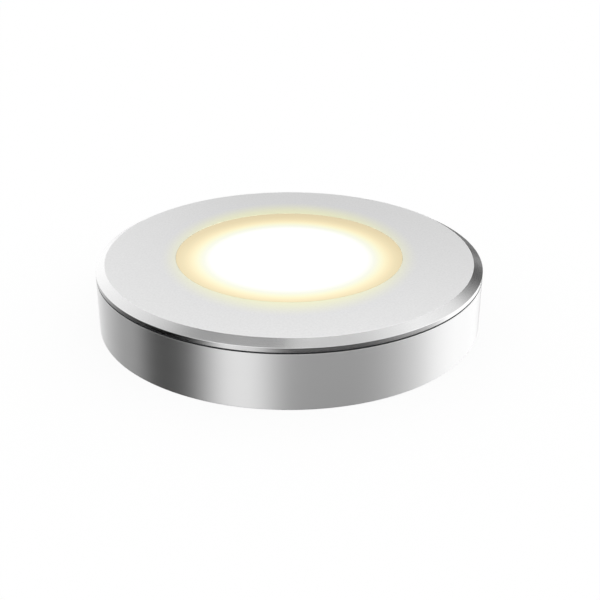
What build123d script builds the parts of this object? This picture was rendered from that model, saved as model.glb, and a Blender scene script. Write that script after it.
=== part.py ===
# A surface-mounted LED spotlight in millimetres.
# It lies on its back on the plane z = 0, with the luminous face up and the cable inlet at +Y.
import os
from math import cos, degrees, hypot, pi, radians, sin

from build123d import *

os.makedirs("parts", exist_ok=True)

# Outer form
outer_radius = 34.0
casing_height = 9.7
seam_gap = 0.2
rim_height = 0.8
bevel_height = 0.9
bevel_width = 1.6
face_width = 12.2
edge_break = 0.15

# Casing
casing_wall = 1.6
ledge_width = 2.0
floor_thickness = 1.5
back_relief = 0.4
foot_width = 4.5
floor_fillet = 0.8
fixing_spacing = 38.0
fixing_hole_radius = 1.8
fixing_sink_radius = 3.3
fixing_boss_radius = 4.8
fixing_boss_height = 0.7
fixing_sink_angle = 90
key_width = 2.4
key_height = 1.2
key_root = 0.4

# Cable inlet
notch_radius = 2.3
trough_length = 9.0
grommet_bore_radius = 1.5
grommet_lip = 0.9
grommet_lip_thickness = 1.3
grommet_lip_round = 0.45
grommet_lip_gap = 0.3
grommet_recess = 0.4

# Front cover
skirt_length = 4.3
skirt_thickness = 1.35
lip_thickness = 1.1
cover_fillet = 0.5
post_radius = 2.2
post_count = 3
post_angle = 30.0

# Spring wire ring and its grooves
ring_wire_radius = 0.45
ring_bulge = 0.3
ring_rise = 2.4
ring_opening = 24.0

# Window lens, seal and reflector cup
lens_thickness = 1.2
lens_wall = 1.8
flange_width = 1.9
flange_thickness = 0.8
seal_thickness = 0.3
cup_wall = 1.0
cup_flange_thickness = 0.6
cup_foot_width = 2.4
cup_foot_thickness = 0.6
cup_margin = 1.8
gusset_count = 12
gusset_thickness = 0.8
gusset_setback = 0.5
peg_radius = 0.6
peg_length = 0.7

# Board, pad and heat spreader
board_thickness = 1.0
pad_thickness = 0.3
pad_margin = 1.8
spreader_thickness = 1.2
spreader_notch_margin = 0.5

# Screws of the light head
screw_radius = 0.95
screw_head_radius = 1.9
screw_head_height = 1.2
screw_head_round = 0.4
screw_length = 5.0
screw_recess_width = 0.5
screw_recess_length = 2.2
screw_recess_depth = 0.6
head_room = 0.3

# Light packages
package_length = 3.5
package_width = 2.8
package_height = 0.7
package_corner = 0.5
well_margin = 0.45
well_depth = 0.35
row_spacing = 6.5
package_pitch = 6.9

# Other parts on the board, their angles counted from +X
front_angle = 270.0
back_angle = 90.0
rectifier_angle = 0.0
driver_angle = 180.0
part_margin = 2.75
part_room = 7.3
lead_slot_width = 5.0
lead_slot_depth = 1.9
resistor_length = 3.2
resistor_width = 1.6
resistor_height = 0.55
resistor_spacing = 6.5
resistors_a_side = 3
resistor_group_angle = 45.0
capacitor_length = 2.0
capacitor_width = 1.25
capacitor_height = 1.25
capacitor_angle = 44.0
rectifier_length = 4.7
rectifier_width = 3.9
rectifier_height = 1.6
rectifier_leg_spacing = 2.5
driver_length = 4.5
driver_width = 2.5
driver_height = 1.5
driver_leg_spacing = 1.5
driver_tab_width = 1.7
leg_width = 0.6
leg_thickness = 0.2
leg_reach = 1.1
body_lift = 0.1
body_bevel = 0.2
connector_width = 5.0
connector_depth = 4.6
connector_height = 2.0
connector_angle = 24.0
core_hole_radius = 0.75
core_spacing = 2.4
release_slot_length = 1.6
release_slot_width = 0.8
release_slot_depth = 0.6
contact_width = 1.2
contact_thickness = 0.3
contact_tail = 1.4

# Clearances between pieces that go together
lens_clearance = 0.05
flange_clearance = 0.2
skirt_clearance = 0.15
groove_clearance = 0.1
spreader_clearance = 0.4
post_clearance = 0.3
screw_clearance = 0.15
thread_clearance = 0.05
peg_clearance = 0.1
key_clearance = 0.2
grommet_clearance = 0.1
well_clearance = 0.02

# Heights, counted up from the plane that the light rests on
rim_base = casing_height + seam_gap
face_height = rim_base + rim_height + bevel_height
floor_top = back_relief + floor_thickness
ledge_height = casing_height - skirt_length
groove_height = ledge_height + ring_rise
spreader_base = floor_top + head_room + screw_head_height
spreader_top = spreader_base + spreader_thickness
pad_top = spreader_top + pad_thickness
board_top = pad_top + board_thickness
seal_top = face_height - lip_thickness
flange_top = seal_top - seal_thickness
flange_base = flange_top - flange_thickness
cup_flange_base = flange_base - cup_flange_thickness
cup_foot_top = board_top + cup_foot_thickness

# Radii that follow from the casing's wall inwards
casing_bore = outer_radius - casing_wall
ledge_bore = casing_bore - ledge_width
skirt_radius = casing_bore - skirt_clearance
skirt_bore = skirt_radius - skirt_thickness
spreader_radius = ledge_bore - spreader_clearance
post_circle = spreader_radius - post_radius
board_radius = post_circle - post_clearance
part_circle = board_radius - part_margin
lead_slot_start = board_radius - lead_slot_depth
ring_circle = casing_bore + ring_bulge - groove_clearance - ring_wire_radius
ring_groove_half = ring_wire_radius + groove_clearance

# Radii round the window
window_radius = outer_radius - bevel_width - face_width
lens_radius = window_radius - lens_clearance
lens_cavity_radius = lens_radius - lens_wall
flange_radius = window_radius + flange_width
flange_recess_radius = flange_radius + flange_clearance

# Reflector cup, inside the circle of parts, and the rows of light packages inside the cup
cup_foot_radius = part_circle - part_room
cup_base_radius = cup_foot_radius - cup_foot_width
peg_circle = cup_foot_radius - cup_foot_width / 2
cup_rise = flange_base - board_top
cup_run = lens_cavity_radius - cup_base_radius
cup_wall_width = cup_wall * hypot(cup_run, cup_rise) / cup_rise
outer_row_radius = cup_base_radius - cup_margin - package_length / 2
row_count = 1 + int((outer_row_radius - package_length) / row_spacing)
row_radii = [outer_row_radius - row_spacing * step for step in range(row_count)]

# Cable inlet
notch_top = notch_radius * 2
trough_start = outer_radius - trough_length
grommet_radius = notch_radius - grommet_clearance
grommet_lip_end = ledge_bore - grommet_lip_gap
grommet_lip_start = grommet_lip_end - grommet_lip_thickness
grommet_end = outer_radius - grommet_recess
grommet_lip_top = notch_top + grommet_lip


def board_place(radius, angle):
    """A plane on the board's upper face, its x axis along the rim and its y axis outwards."""
    outwards = (cos(radians(angle)), sin(radians(angle)))
    return Plane(
        origin=(radius * outwards[0], radius * outwards[1], board_top),
        x_dir=(outwards[1], -outwards[0], 0),
        z_dir=(0, 0, 1),
    )


def cup_radius(height):
    """The inner radius of the cup's cone at a height."""
    return cup_base_radius + cup_run * (height - board_top) / cup_rise


def packages_in_row(radius):
    """How many light packages a row holds, spaced along their outer ends."""
    return int(2 * pi * (radius + package_length / 2) / package_pitch)


def bent_leg(body_height):
    """One flat leg, bent from a body's side at x = 0 down to a foot on the board."""
    shoulder = body_lift + body_height / 2
    with BuildPart() as leg:
        with BuildSketch(Plane.XZ):
            with BuildLine():
                Polyline(
                    (0, shoulder + leg_thickness),
                    (leg_reach / 2, shoulder + leg_thickness),
                    (leg_reach / 2, leg_thickness),
                    (leg_reach, leg_thickness),
                    (leg_reach, 0),
                    (leg_reach / 2 - leg_thickness, 0),
                    (leg_reach / 2 - leg_thickness, shoulder),
                    (0, shoulder),
                    close=True,
                )
            make_face()
        extrude(amount=leg_width / 2, both=True)
    return leg.part


# Casing: a turned cup with a stepped wall, an inner groove and a foot ring round the floor
with BuildPart() as casing:
    with BuildSketch(Plane.XZ):
        with BuildLine():
            Polyline(
                (0, back_relief),
                (outer_radius - foot_width, back_relief),
                (outer_radius - foot_width, 0),
                (outer_radius - edge_break, 0),
                (outer_radius, edge_break),
                (outer_radius, casing_height - edge_break),
                (outer_radius - edge_break, casing_height),
                (casing_bore + edge_break, casing_height),
                (casing_bore, casing_height - edge_break),
                (casing_bore, groove_height + ring_groove_half),
                (casing_bore + ring_bulge, groove_height + ring_groove_half),
                (casing_bore + ring_bulge, groove_height - ring_groove_half),
                (casing_bore, groove_height - ring_groove_half),
                (casing_bore, ledge_height),
                (ledge_bore, ledge_height),
                (ledge_bore, floor_top),
                (0, floor_top),
                close=True,
            )
        make_face()
    revolve(axis=Axis.Z)
    fillet(casing.edges().sort_by_distance((0, -ledge_bore, floor_top))[0], floor_fillet)

    # Bosses and countersunk holes for the two screws that fix the light to a board
    with BuildSketch(Plane.XY.offset(floor_top)):
        with GridLocations(fixing_spacing, fixing_spacing, 2, 1):
            Circle(fixing_boss_radius)
    extrude(amount=fixing_boss_height)
    with Locations(Plane.XY.offset(floor_top + fixing_boss_height)):
        with GridLocations(fixing_spacing, fixing_spacing, 2, 1):
            CounterSinkHole(
                fixing_hole_radius, fixing_sink_radius, counter_sink_angle=fixing_sink_angle
            )

    # Two keys on the ledge that stop the cover from turning
    with BuildSketch(Plane.XY.offset(ledge_height)):
        with PolarLocations(casing_bore + key_root - ledge_width / 2, 2):
            Rectangle(ledge_width, key_width)
    extrude(amount=key_height)

    # Notch through the wall and trough in the floor for the lead
    with BuildSketch(Plane.XZ.offset(-trough_start)):
        with Locations((0, notch_radius)):
            Circle(notch_radius)
        Rectangle(notch_radius * 2, notch_radius, align=(Align.CENTER, Align.MIN))
    extrude(amount=-outer_radius, mode=Mode.SUBTRACT)
casing.part.label = "casing"
export_step(casing.part, "parts/casing.step")

# Cable grommet: fills the notch, with a lip against the wall's inner side
with BuildPart() as cable_grommet:
    with BuildSketch(Plane.XZ.offset(-grommet_lip_start)):
        with Locations((0, notch_radius)):
            Circle(grommet_radius)
        with Locations((0, grommet_clearance)):
            Rectangle(
                grommet_radius * 2,
                notch_radius - grommet_clearance,
                align=(Align.CENTER, Align.MIN),
            )
    extrude(amount=grommet_lip_start - grommet_end)
    with BuildSketch(Plane.XZ.offset(-grommet_lip_start)):
        with Locations((0, floor_top + floor_fillet)):
            RectangleRounded(
                (grommet_radius + grommet_lip) * 2,
                grommet_lip_top - floor_top - floor_fillet,
                grommet_lip_round,
                align=(Align.CENTER, Align.MIN),
            )
    extrude(amount=-grommet_lip_thickness)
    with BuildSketch(Plane.XZ.offset(-grommet_lip_start)):
        with Locations((0, notch_radius)):
            Circle(grommet_bore_radius)
    extrude(amount=grommet_lip_start - grommet_end, mode=Mode.SUBTRACT)
cable_grommet.part.label = "cable_grommet"
export_step(cable_grommet.part, "parts/cable_grommet.step")

# Front cover: the face with its bevel and rim, a skirt with a groove, and the screw posts
with BuildPart() as front_cover:
    with BuildSketch(Plane.XZ):
        with BuildLine():
            Polyline(
                (window_radius, face_height),
                (outer_radius - bevel_width, face_height),
                (outer_radius, face_height - bevel_height),
                (outer_radius, rim_base),
                (skirt_radius, rim_base),
                (skirt_radius, groove_height + ring_groove_half),
                (ring_circle - ring_groove_half, groove_height + ring_groove_half),
                (ring_circle - ring_groove_half, groove_height - ring_groove_half),
                (skirt_radius, groove_height - ring_groove_half),
                (skirt_radius, ledge_height + edge_break),
                (skirt_radius - edge_break, ledge_height),
                (skirt_bore, ledge_height),
                (skirt_bore, rim_base),
                (flange_recess_radius, rim_base),
                (flange_recess_radius, seal_top),
                (window_radius, seal_top),
                close=True,
            )
        make_face()
    revolve(axis=Axis.Z)
    fillet(front_cover.edges().sort_by_distance((0, -skirt_bore, rim_base))[0], cover_fillet)

    # Posts under the face, each drilled for a screw
    with BuildSketch(Plane.XY.offset(spreader_top)):
        with PolarLocations(post_circle, post_count, post_angle):
            Circle(post_radius)
    extrude(amount=rim_base - spreader_top)
    with BuildSketch(Plane.XY.offset(spreader_top)):
        with PolarLocations(post_circle, post_count, post_angle):
            Circle(screw_radius + thread_clearance)
    extrude(amount=screw_length - spreader_thickness + thread_clearance, mode=Mode.SUBTRACT)

    # Slots in the skirt for the casing's keys
    with BuildSketch(Plane.XY.offset(ledge_height)):
        with PolarLocations((skirt_radius + skirt_bore) / 2, 2):
            Rectangle(skirt_thickness * 2, key_width + key_clearance * 2)
    extrude(amount=key_height + key_clearance, mode=Mode.SUBTRACT)

    # Room over the lead's notch, into which the skirt of a shallower casing would reach
    with BuildSketch(Plane.XY):
        with Locations((0, outer_radius)):
            Rectangle(
                notch_radius * 2,
                outer_radius - ledge_bore,
                align=(Align.CENTER, Align.MAX),
            )
    extrude(amount=notch_top, mode=Mode.SUBTRACT)
front_cover.part.label = "front_cover"
export_step(front_cover.part, "parts/front_cover.step")

# Snap ring: an open ring of round spring wire
with BuildPart() as snap_ring:
    with BuildSketch(Plane.XZ):
        with Locations((ring_circle, groove_height)):
            Circle(ring_wire_radius)
    revolve(axis=Axis.Z, revolution_arc=360 - ring_opening)
snap_ring.part.label = "snap_ring"
export_step(snap_ring.part, "parts/snap_ring.step")

# Window lens: flat above, hollow beneath, with a flange that sits under the cover's lip
with BuildPart() as window_lens:
    with BuildSketch(Plane.XZ):
        with BuildLine():
            Polyline(
                (0, face_height),
                (lens_radius - edge_break / 2, face_height),
                (lens_radius, face_height - edge_break / 2),
                (lens_radius, flange_top),
                (flange_radius, flange_top),
                (flange_radius, flange_base),
                (lens_cavity_radius, flange_base),
                (lens_cavity_radius, face_height - lens_thickness),
                (0, face_height - lens_thickness),
                close=True,
            )
        make_face()
    revolve(axis=Axis.Z)
window_lens.part.label = "window_lens"
export_step(window_lens.part, "parts/window_lens.step")

# Lens seal: a flat ring between the flange and the cover's lip
with BuildPart() as lens_seal:
    with BuildSketch(Plane.XY.offset(flange_top)):
        Circle(flange_radius)
        Circle(window_radius + flange_clearance, mode=Mode.SUBTRACT)
    extrude(amount=seal_thickness)
lens_seal.part.label = "lens_seal"
export_step(lens_seal.part, "parts/lens_seal.step")

# Reflector cup: a conical wall between a foot on the board and a flange under the lens
with BuildPart() as gusset:
    with BuildSketch(Plane.XZ):
        with BuildLine():
            Polyline(
                (cup_foot_radius, cup_foot_top),
                (flange_radius - gusset_setback, cup_flange_base),
                (cup_radius(cup_flange_base) + cup_wall_width / 2, cup_flange_base),
                (cup_radius(cup_foot_top) + cup_wall_width / 2, cup_foot_top),
                close=True,
            )
        make_face()
    extrude(amount=gusset_thickness / 2, both=True)
with BuildPart() as reflector_cup:
    with BuildSketch(Plane.XZ):
        with BuildLine():
            Polyline(
                (cup_base_radius, board_top),
                (cup_foot_radius, board_top),
                (cup_foot_radius, cup_foot_top),
                (cup_radius(cup_foot_top) + cup_wall_width, cup_foot_top),
                (cup_radius(cup_flange_base) + cup_wall_width, cup_flange_base),
                (flange_radius, cup_flange_base),
                (flange_radius, flange_base),
                (lens_cavity_radius, flange_base),
                close=True,
            )
        make_face()
    revolve(axis=Axis.Z)
    with PolarLocations(0, gusset_count):
        add(gusset.part)

    # Pegs that locate the cup in the board
    with BuildSketch(Plane.XY.offset(board_top)):
        with PolarLocations(peg_circle, post_count, post_angle):
            Circle(peg_radius)
    extrude(amount=-peg_length)
reflector_cup.part.label = "reflector_cup"
export_step(reflector_cup.part, "parts/reflector_cup.step")

# Board: round, notched for the posts and drilled for the cup's pegs
with BuildPart() as led_board:
    with BuildSketch(Plane.XY.offset(pad_top)):
        Circle(board_radius)
        with PolarLocations(post_circle, post_count, post_angle):
            Circle(post_radius + post_clearance, mode=Mode.SUBTRACT)
        with PolarLocations(peg_circle, post_count, post_angle):
            Circle(peg_radius + peg_clearance, mode=Mode.SUBTRACT)
        with Locations((0, lead_slot_start)):
            Rectangle(
                lead_slot_width,
                outer_radius,
                align=(Align.CENTER, Align.MIN),
                mode=Mode.SUBTRACT,
            )
    extrude(amount=board_thickness)
led_board.part.label = "led_board"
export_step(led_board.part, "parts/led_board.step")

# Thermal pad: soft disc under the lit part of the board
with BuildPart() as thermal_pad:
    with BuildSketch(Plane.XY.offset(spreader_top)):
        Circle(window_radius + pad_margin)
    extrude(amount=pad_thickness)
thermal_pad.part.label = "thermal_pad"
export_step(thermal_pad.part, "parts/thermal_pad.step")

# Heat spreader: stamped disc with screw holes and a notch for the lead
with BuildPart() as heat_spreader:
    with BuildSketch(Plane.XY.offset(spreader_base)):
        Circle(spreader_radius)
        with PolarLocations(post_circle, post_count, post_angle):
            Circle(screw_radius + screw_clearance, mode=Mode.SUBTRACT)
        with Locations((0, lead_slot_start)):
            RectangleRounded(
                (grommet_radius + grommet_lip + spreader_notch_margin) * 2,
                outer_radius,
                grommet_lip,
                align=(Align.CENTER, Align.MIN),
                mode=Mode.SUBTRACT,
            )
    extrude(amount=spreader_thickness)
heat_spreader.part.label = "heat_spreader"
export_step(heat_spreader.part, "parts/heat_spreader.step")

# Screws of the light head: pan heads under the spreader, with a cross recess
with BuildPart() as head_screws:
    with BuildSketch(Plane.XY.offset(spreader_base)):
        with PolarLocations(post_circle, post_count, post_angle):
            Circle(screw_head_radius)
    extrude(amount=-screw_head_height)
    fillet(head_screws.edges().group_by(Axis.Z)[0], screw_head_round)
    with BuildSketch(Plane.XY.offset(spreader_base - screw_head_height)):
        with PolarLocations(post_circle, post_count, post_angle):
            Rectangle(screw_recess_length, screw_recess_width)
            Rectangle(screw_recess_width, screw_recess_length)
    extrude(amount=screw_recess_depth, mode=Mode.SUBTRACT)
    with BuildSketch(Plane.XY.offset(spreader_base)):
        with PolarLocations(post_circle, post_count, post_angle):
            Circle(screw_radius)
    extrude(amount=screw_length)
head_screws.part.label = "head_screws"
export_step(head_screws.part, "parts/head_screws.step")

# Light packages: rows of moulded bodies with a well, one corner cut to mark the cathode
with BuildPart() as light_package:
    with BuildSketch(Plane.XY.offset(board_top)):
        body = Rectangle(package_length, package_width)
        chamfer(body.vertices().group_by(Axis.X)[-1].sort_by(Axis.Y)[-1], package_corner)
    extrude(amount=package_height)
    with BuildSketch(Plane.XY.offset(board_top + package_height)):
        Rectangle(package_length - well_margin * 2, package_width - well_margin * 2)
    extrude(amount=-well_depth, mode=Mode.SUBTRACT)
with BuildPart() as led_packages:
    for row_radius in row_radii:
        with PolarLocations(row_radius, packages_in_row(row_radius)):
            add(light_package.part)
led_packages.part.label = "led_packages"
export_step(led_packages.part, "parts/led_packages.step")

# Phosphor: the yellow filling of each package's well
phosphor_gap = well_margin + well_clearance
with BuildPart() as led_phosphors:
    with BuildSketch(Plane.XY.offset(board_top + package_height)):
        for row_radius in row_radii:
            with PolarLocations(row_radius, packages_in_row(row_radius)):
                Rectangle(
                    package_length - phosphor_gap * 2, package_width - phosphor_gap * 2
                )
    extrude(amount=-well_depth)
led_phosphors.part.label = "led_phosphors"
export_step(led_phosphors.part, "parts/led_phosphors.step")

# Resistors: a row on each side of the board's front
resistor_span = degrees(resistor_spacing / part_circle) * (resistors_a_side - 1)
with BuildPart() as chip_resistors:
    with BuildSketch(Plane.XY.offset(board_top)):
        for side in (-1, 1):
            row_start = front_angle + side * resistor_group_angle - resistor_span / 2
            with PolarLocations(
                part_circle, resistors_a_side, row_start, resistor_span, endpoint=True
            ):
                Rectangle(resistor_width, resistor_length)
    extrude(amount=resistor_height)
chip_resistors.part.label = "chip_resistors"
export_step(chip_resistors.part, "parts/chip_resistors.step")

# Capacitors: one on each side of the lead's slot
with BuildPart() as chip_capacitors:
    with BuildSketch(Plane.XY.offset(board_top)):
        with PolarLocations(
            part_circle, 2, back_angle - capacitor_angle, capacitor_angle * 2, endpoint=True
        ):
            Rectangle(capacitor_width, capacitor_length)
    extrude(amount=capacitor_height)
chip_capacitors.part.label = "chip_capacitors"
export_step(chip_capacitors.part, "parts/chip_capacitors.step")

# Bridge rectifier: a bevelled body, its length outwards, on four bent legs
with BuildPart(board_place(part_circle, rectifier_angle)) as bridge_rectifier:
    with Locations((0, 0, body_lift)):
        Box(
            rectifier_width,
            rectifier_length,
            rectifier_height,
            align=(Align.CENTER, Align.CENTER, Align.MIN),
        )
    chamfer(bridge_rectifier.faces().sort_by(Axis.Z)[-1].edges(), body_bevel)
bridge_rectifier.part.label = "bridge_rectifier"
export_step(bridge_rectifier.part, "parts/bridge_rectifier.step")

rectifier_leg = bent_leg(rectifier_height)
with BuildPart(board_place(part_circle, rectifier_angle)) as rectifier_legs:
    for side, turn in ((1, 0), (-1, 180)):
        for end in (1, -1):
            foot = (side * rectifier_width / 2, end * rectifier_leg_spacing / 2, 0)
            with Locations(Location(foot, (0, 0, turn))):
                add(rectifier_leg)
rectifier_legs.part.label = "rectifier_legs"
export_step(rectifier_legs.part, "parts/rectifier_legs.step")

# Current regulator: a moulded body with three legs outwards and a flat tab inwards
with BuildPart(board_place(part_circle, driver_angle)) as driver_chip:
    with Locations((0, 0, body_lift)):
        Box(
            driver_length,
            driver_width,
            driver_height,
            align=(Align.CENTER, Align.CENTER, Align.MIN),
        )
    chamfer(driver_chip.faces().sort_by(Axis.Z)[-1].edges(), body_bevel)
driver_chip.part.label = "driver_chip"
export_step(driver_chip.part, "parts/driver_chip.step")

driver_leg = bent_leg(driver_height)
with BuildPart(board_place(part_circle, driver_angle)) as driver_legs:
    for step in (-1, 0, 1):
        foot = (step * driver_leg_spacing, driver_width / 2, 0)
        with Locations(Location(foot, (0, 0, 90))):
            add(driver_leg)
    with Locations((0, -driver_width / 2, body_lift)):
        Box(
            driver_tab_width,
            leg_reach,
            leg_thickness,
            align=(Align.CENTER, Align.MAX, Align.MIN),
        )
driver_legs.part.label = "driver_legs"
export_step(driver_legs.part, "parts/driver_legs.step")

# Lead connector, beside the lead's slot: two holes for the cores face the slot, with a
# release slot over each
connector_place = board_place(part_circle, back_angle - connector_angle)
with BuildPart(connector_place) as lead_connector:
    Box(
        connector_depth,
        connector_width,
        connector_height,
        align=(Align.CENTER, Align.CENTER, Align.MIN),
    )
    chamfer(lead_connector.faces().sort_by(Axis.Z)[-1].edges(), body_bevel)
    with Locations((-connector_depth / 2, 0, connector_height / 2)):
        with GridLocations(core_spacing, core_spacing, 1, 2):
            Cylinder(
                core_hole_radius, connector_depth, rotation=(0, 90, 0), mode=Mode.SUBTRACT
            )
    with Locations((0, 0, connector_height)):
        with GridLocations(core_spacing, core_spacing, 1, 2):
            Box(
                release_slot_length,
                release_slot_width,
                release_slot_depth,
                align=(Align.CENTER, Align.CENTER, Align.MAX),
                mode=Mode.SUBTRACT,
            )
lead_connector.part.label = "lead_connector"
export_step(lead_connector.part, "parts/lead_connector.step")

# Connector contacts: strips bent down the connector's far side to a tail on the board
with BuildPart(connector_place) as connector_contacts:
    with Locations((connector_depth / 2, 0, 0)):
        with GridLocations(core_spacing, core_spacing, 1, 2):
            Box(
                contact_tail,
                contact_width,
                contact_thickness,
                align=(Align.MIN, Align.CENTER, Align.MIN),
            )
            Box(
                contact_thickness,
                contact_width,
                connector_height / 2,
                align=(Align.MIN, Align.CENTER, Align.MIN),
            )
connector_contacts.part.label = "connector_contacts"
export_step(connector_contacts.part, "parts/connector_contacts.step")
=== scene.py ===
import logging
import math
from collections.abc import Callable
from dataclasses import dataclass
from enum import Enum

import bmesh
import bpy
from mathutils import Matrix, Vector


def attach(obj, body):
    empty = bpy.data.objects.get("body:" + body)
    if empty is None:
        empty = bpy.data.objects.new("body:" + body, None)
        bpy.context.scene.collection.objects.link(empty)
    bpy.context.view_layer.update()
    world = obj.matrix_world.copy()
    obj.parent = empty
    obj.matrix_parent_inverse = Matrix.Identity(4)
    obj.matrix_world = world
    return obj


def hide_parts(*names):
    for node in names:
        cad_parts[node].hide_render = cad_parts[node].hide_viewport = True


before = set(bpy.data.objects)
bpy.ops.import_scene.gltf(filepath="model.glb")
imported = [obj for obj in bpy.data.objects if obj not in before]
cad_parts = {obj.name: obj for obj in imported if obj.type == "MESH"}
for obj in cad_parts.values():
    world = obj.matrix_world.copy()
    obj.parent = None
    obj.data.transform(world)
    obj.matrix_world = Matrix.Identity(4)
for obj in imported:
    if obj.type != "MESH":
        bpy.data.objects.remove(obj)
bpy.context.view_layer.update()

# The classes hold their sizes in millimetres and their angles in degrees, and a comment
# says so where one doesn't. Meshes are in metres.
MM = 0.001
BODY = "root"
# Points of a mesh that are closer than this, in metres, are made one.
MERGE = 1e-7
# The same for a turned piece's seam and for its points on the axis, which repeat.
LATHE_MERGE = 1e-6
SHARP_ANGLE = math.radians(35)
# A face belongs to a wall where its normal's Z is less than the first, up or down, and to
# an underside where it is less than the second.
UPRIGHT, DOWNWARDS = 0.9, -0.06
# How many flat faces go round a large turned piece.
LARGE_SIDES = 288
# Angles in degrees: whole and half turn, two opposite sides, and a cross's two arms.
FULL_TURN, HALF_TURN = 360.0, 180.0
OPPOSITE, CROSSED = (0.0, 180.0), (0.0, 90.0)
# How many finer layers a noise has, and the values that nearly all of it lies between.
NOISE_DETAIL = 3.0
NOISE_LOW, NOISE_HIGH = 0.3, 0.7
# The share of a turn that draws a light out across the lathe's lines, not along them.
ACROSS_THE_LINES = 0.25
log = logging.getLogger("led_spotlight")

Point = tuple[float, float]
Colour = tuple[float, float, float, float]
Inputs = dict[str | int, object]

MATH = "ShaderNodeMath"
VECTOR_MATH = "ShaderNodeVectorMath"
MAP_RANGE = "ShaderNodeMapRange"
MIX = "ShaderNodeMix"
NOISE = "ShaderNodeTexNoise"
BUMP = "ShaderNodeBump"
COMBINE = "ShaderNodeCombineXYZ"
SEPARATE = "ShaderNodeSeparateXYZ"


class Boolean(Enum):
    """What a tool does to a piece."""

    JOIN = "UNION"
    CUT = "DIFFERENCE"


class Along(Enum):
    """The axis that a lofted piece's rings are stacked along."""

    UP = "z"
    BACK = "y"


def linear(colour: str, shade: float = 1.0) -> Colour:
    """Turns an sRGB hex colour into the linear colour that a shader takes.

    Args:
        colour: The colour as "#RRGGBB".
        shade: What its light is multiplied by.

    Returns:
        Linear red, green, blue and an alpha of one.
    """
    channels = [int(colour[place:place + 2], 16) / 255 for place in (1, 3, 5)]
    return tuple(
        shade * (c / 12.92 if c <= 0.04045 else ((c + 0.055) / 1.055) ** 2.4)
        for c in channels
    ) + (1.0,)


def feed(tree: bpy.types.NodeTree, node: bpy.types.Node, inputs: Inputs) -> None:
    """Gives a node its input values and links.

    Args:
        tree: The tree that holds the node.
        node: The node.
        inputs: For each input, by name or place, a value, an output socket or a node whose
            first output is linked.
    """
    for name, value in inputs.items():
        if isinstance(value, bpy.types.Node):
            value = value.outputs[0]
        if isinstance(value, bpy.types.NodeSocket):
            tree.links.new(value, node.inputs[name])
        else:
            node.inputs[name].default_value = value


def add_node(
    tree: bpy.types.NodeTree, kind: str, inputs: Inputs | None = None, **settings: object
) -> bpy.types.Node:
    """Adds one node with its settings and its links.

    Args:
        tree: The tree that gets the node.
        kind: The node's type.
        inputs: The node's inputs, as feed() takes them.
        settings: Values of the node's own properties.

    Returns:
        The new node.
    """
    node = tree.nodes.new(kind)
    for name, value in settings.items():
        setattr(node, name, value)
    feed(tree, node, inputs or {})
    return node


def speckle(tree: bpy.types.NodeTree, size: float) -> bpy.types.Node:
    """A noise on the object whose marks are a size in millimetres.

    Args:
        tree: The tree that gets the nodes.
        size: The distance between marks.

    Returns:
        The noise node.
    """
    place = add_node(tree, "ShaderNodeTexCoord").outputs["Object"]
    return add_node(
        tree, NOISE, {"Vector": place, "Scale": 1 / (size * MM), "Detail": NOISE_DETAIL}
    )


def axis_distance(
    tree: bpy.types.NodeTree, centre: Point = (0.0, 0.0), stretch: float = 1.0
) -> bpy.types.NodeSocket:
    """The distance of the shaded point from an upright axis, in millimetres.

    Args:
        tree: The tree that gets the nodes.
        centre: Where the axis stands.
        stretch: What distances along X are multiplied by.

    Returns:
        The socket that holds the distance.
    """
    place = add_node(tree, "ShaderNodeTexCoord").outputs["Object"]
    flat = add_node(
        tree, VECTOR_MATH,
        {0: place, 1: (stretch / MM, 1 / MM, 0.0), 2: (-centre[0], -centre[1], 0.0)},
        operation="MULTIPLY_ADD",
    )
    return add_node(tree, VECTOR_MATH, {0: flat}, operation="LENGTH").outputs["Value"]


@dataclass(frozen=True)
class Finish:
    """A surface finish. Each kind says in its paint() what the eye sees of it."""

    name: str
    colour: str
    roughness: float

    def paint(self, tree: bpy.types.NodeTree, shader: bpy.types.Node) -> None:
        """Adds what the finish shows; each kind of finish has its own."""
        raise NotImplementedError

    def marked(
        self, tree: bpy.types.NodeTree, pattern: bpy.types.Node, shade: float, depth: float
    ) -> Inputs:
        """Lets a pattern darken the finish where it is low and stand out where it is high.

        Args:
            tree: The material's tree.
            pattern: The node that holds the pattern, from 0 to 1.
            shade: What the colour's light is multiplied by where the pattern is 0.
            depth: How far the pattern stands out, in millimetres.

        Returns:
            The shader's base colour and normal.
        """
        tint = add_node(
            tree, MIX, {0: pattern, 6: linear(self.colour, shade), 7: linear(self.colour)},
            data_type="RGBA",
        )
        bump = add_node(tree, BUMP, {"Distance": depth * MM, "Height": pattern.outputs[0]})
        return {"Base Color": tint.outputs[2], "Normal": bump}

    def material(self) -> bpy.types.Material:
        """Makes the finish a material, once.

        Returns:
            The material.
        """
        found = bpy.data.materials.get(self.name)
        if found:
            return found
        material = bpy.data.materials.new(self.name)
        material.use_nodes = True
        tree = material.node_tree
        shader = tree.nodes["Principled BSDF"]
        feed(tree, shader, {
            "Base Color": linear(self.colour), "Roughness": self.roughness,
        })
        self.paint(tree, shader)
        return material


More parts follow.
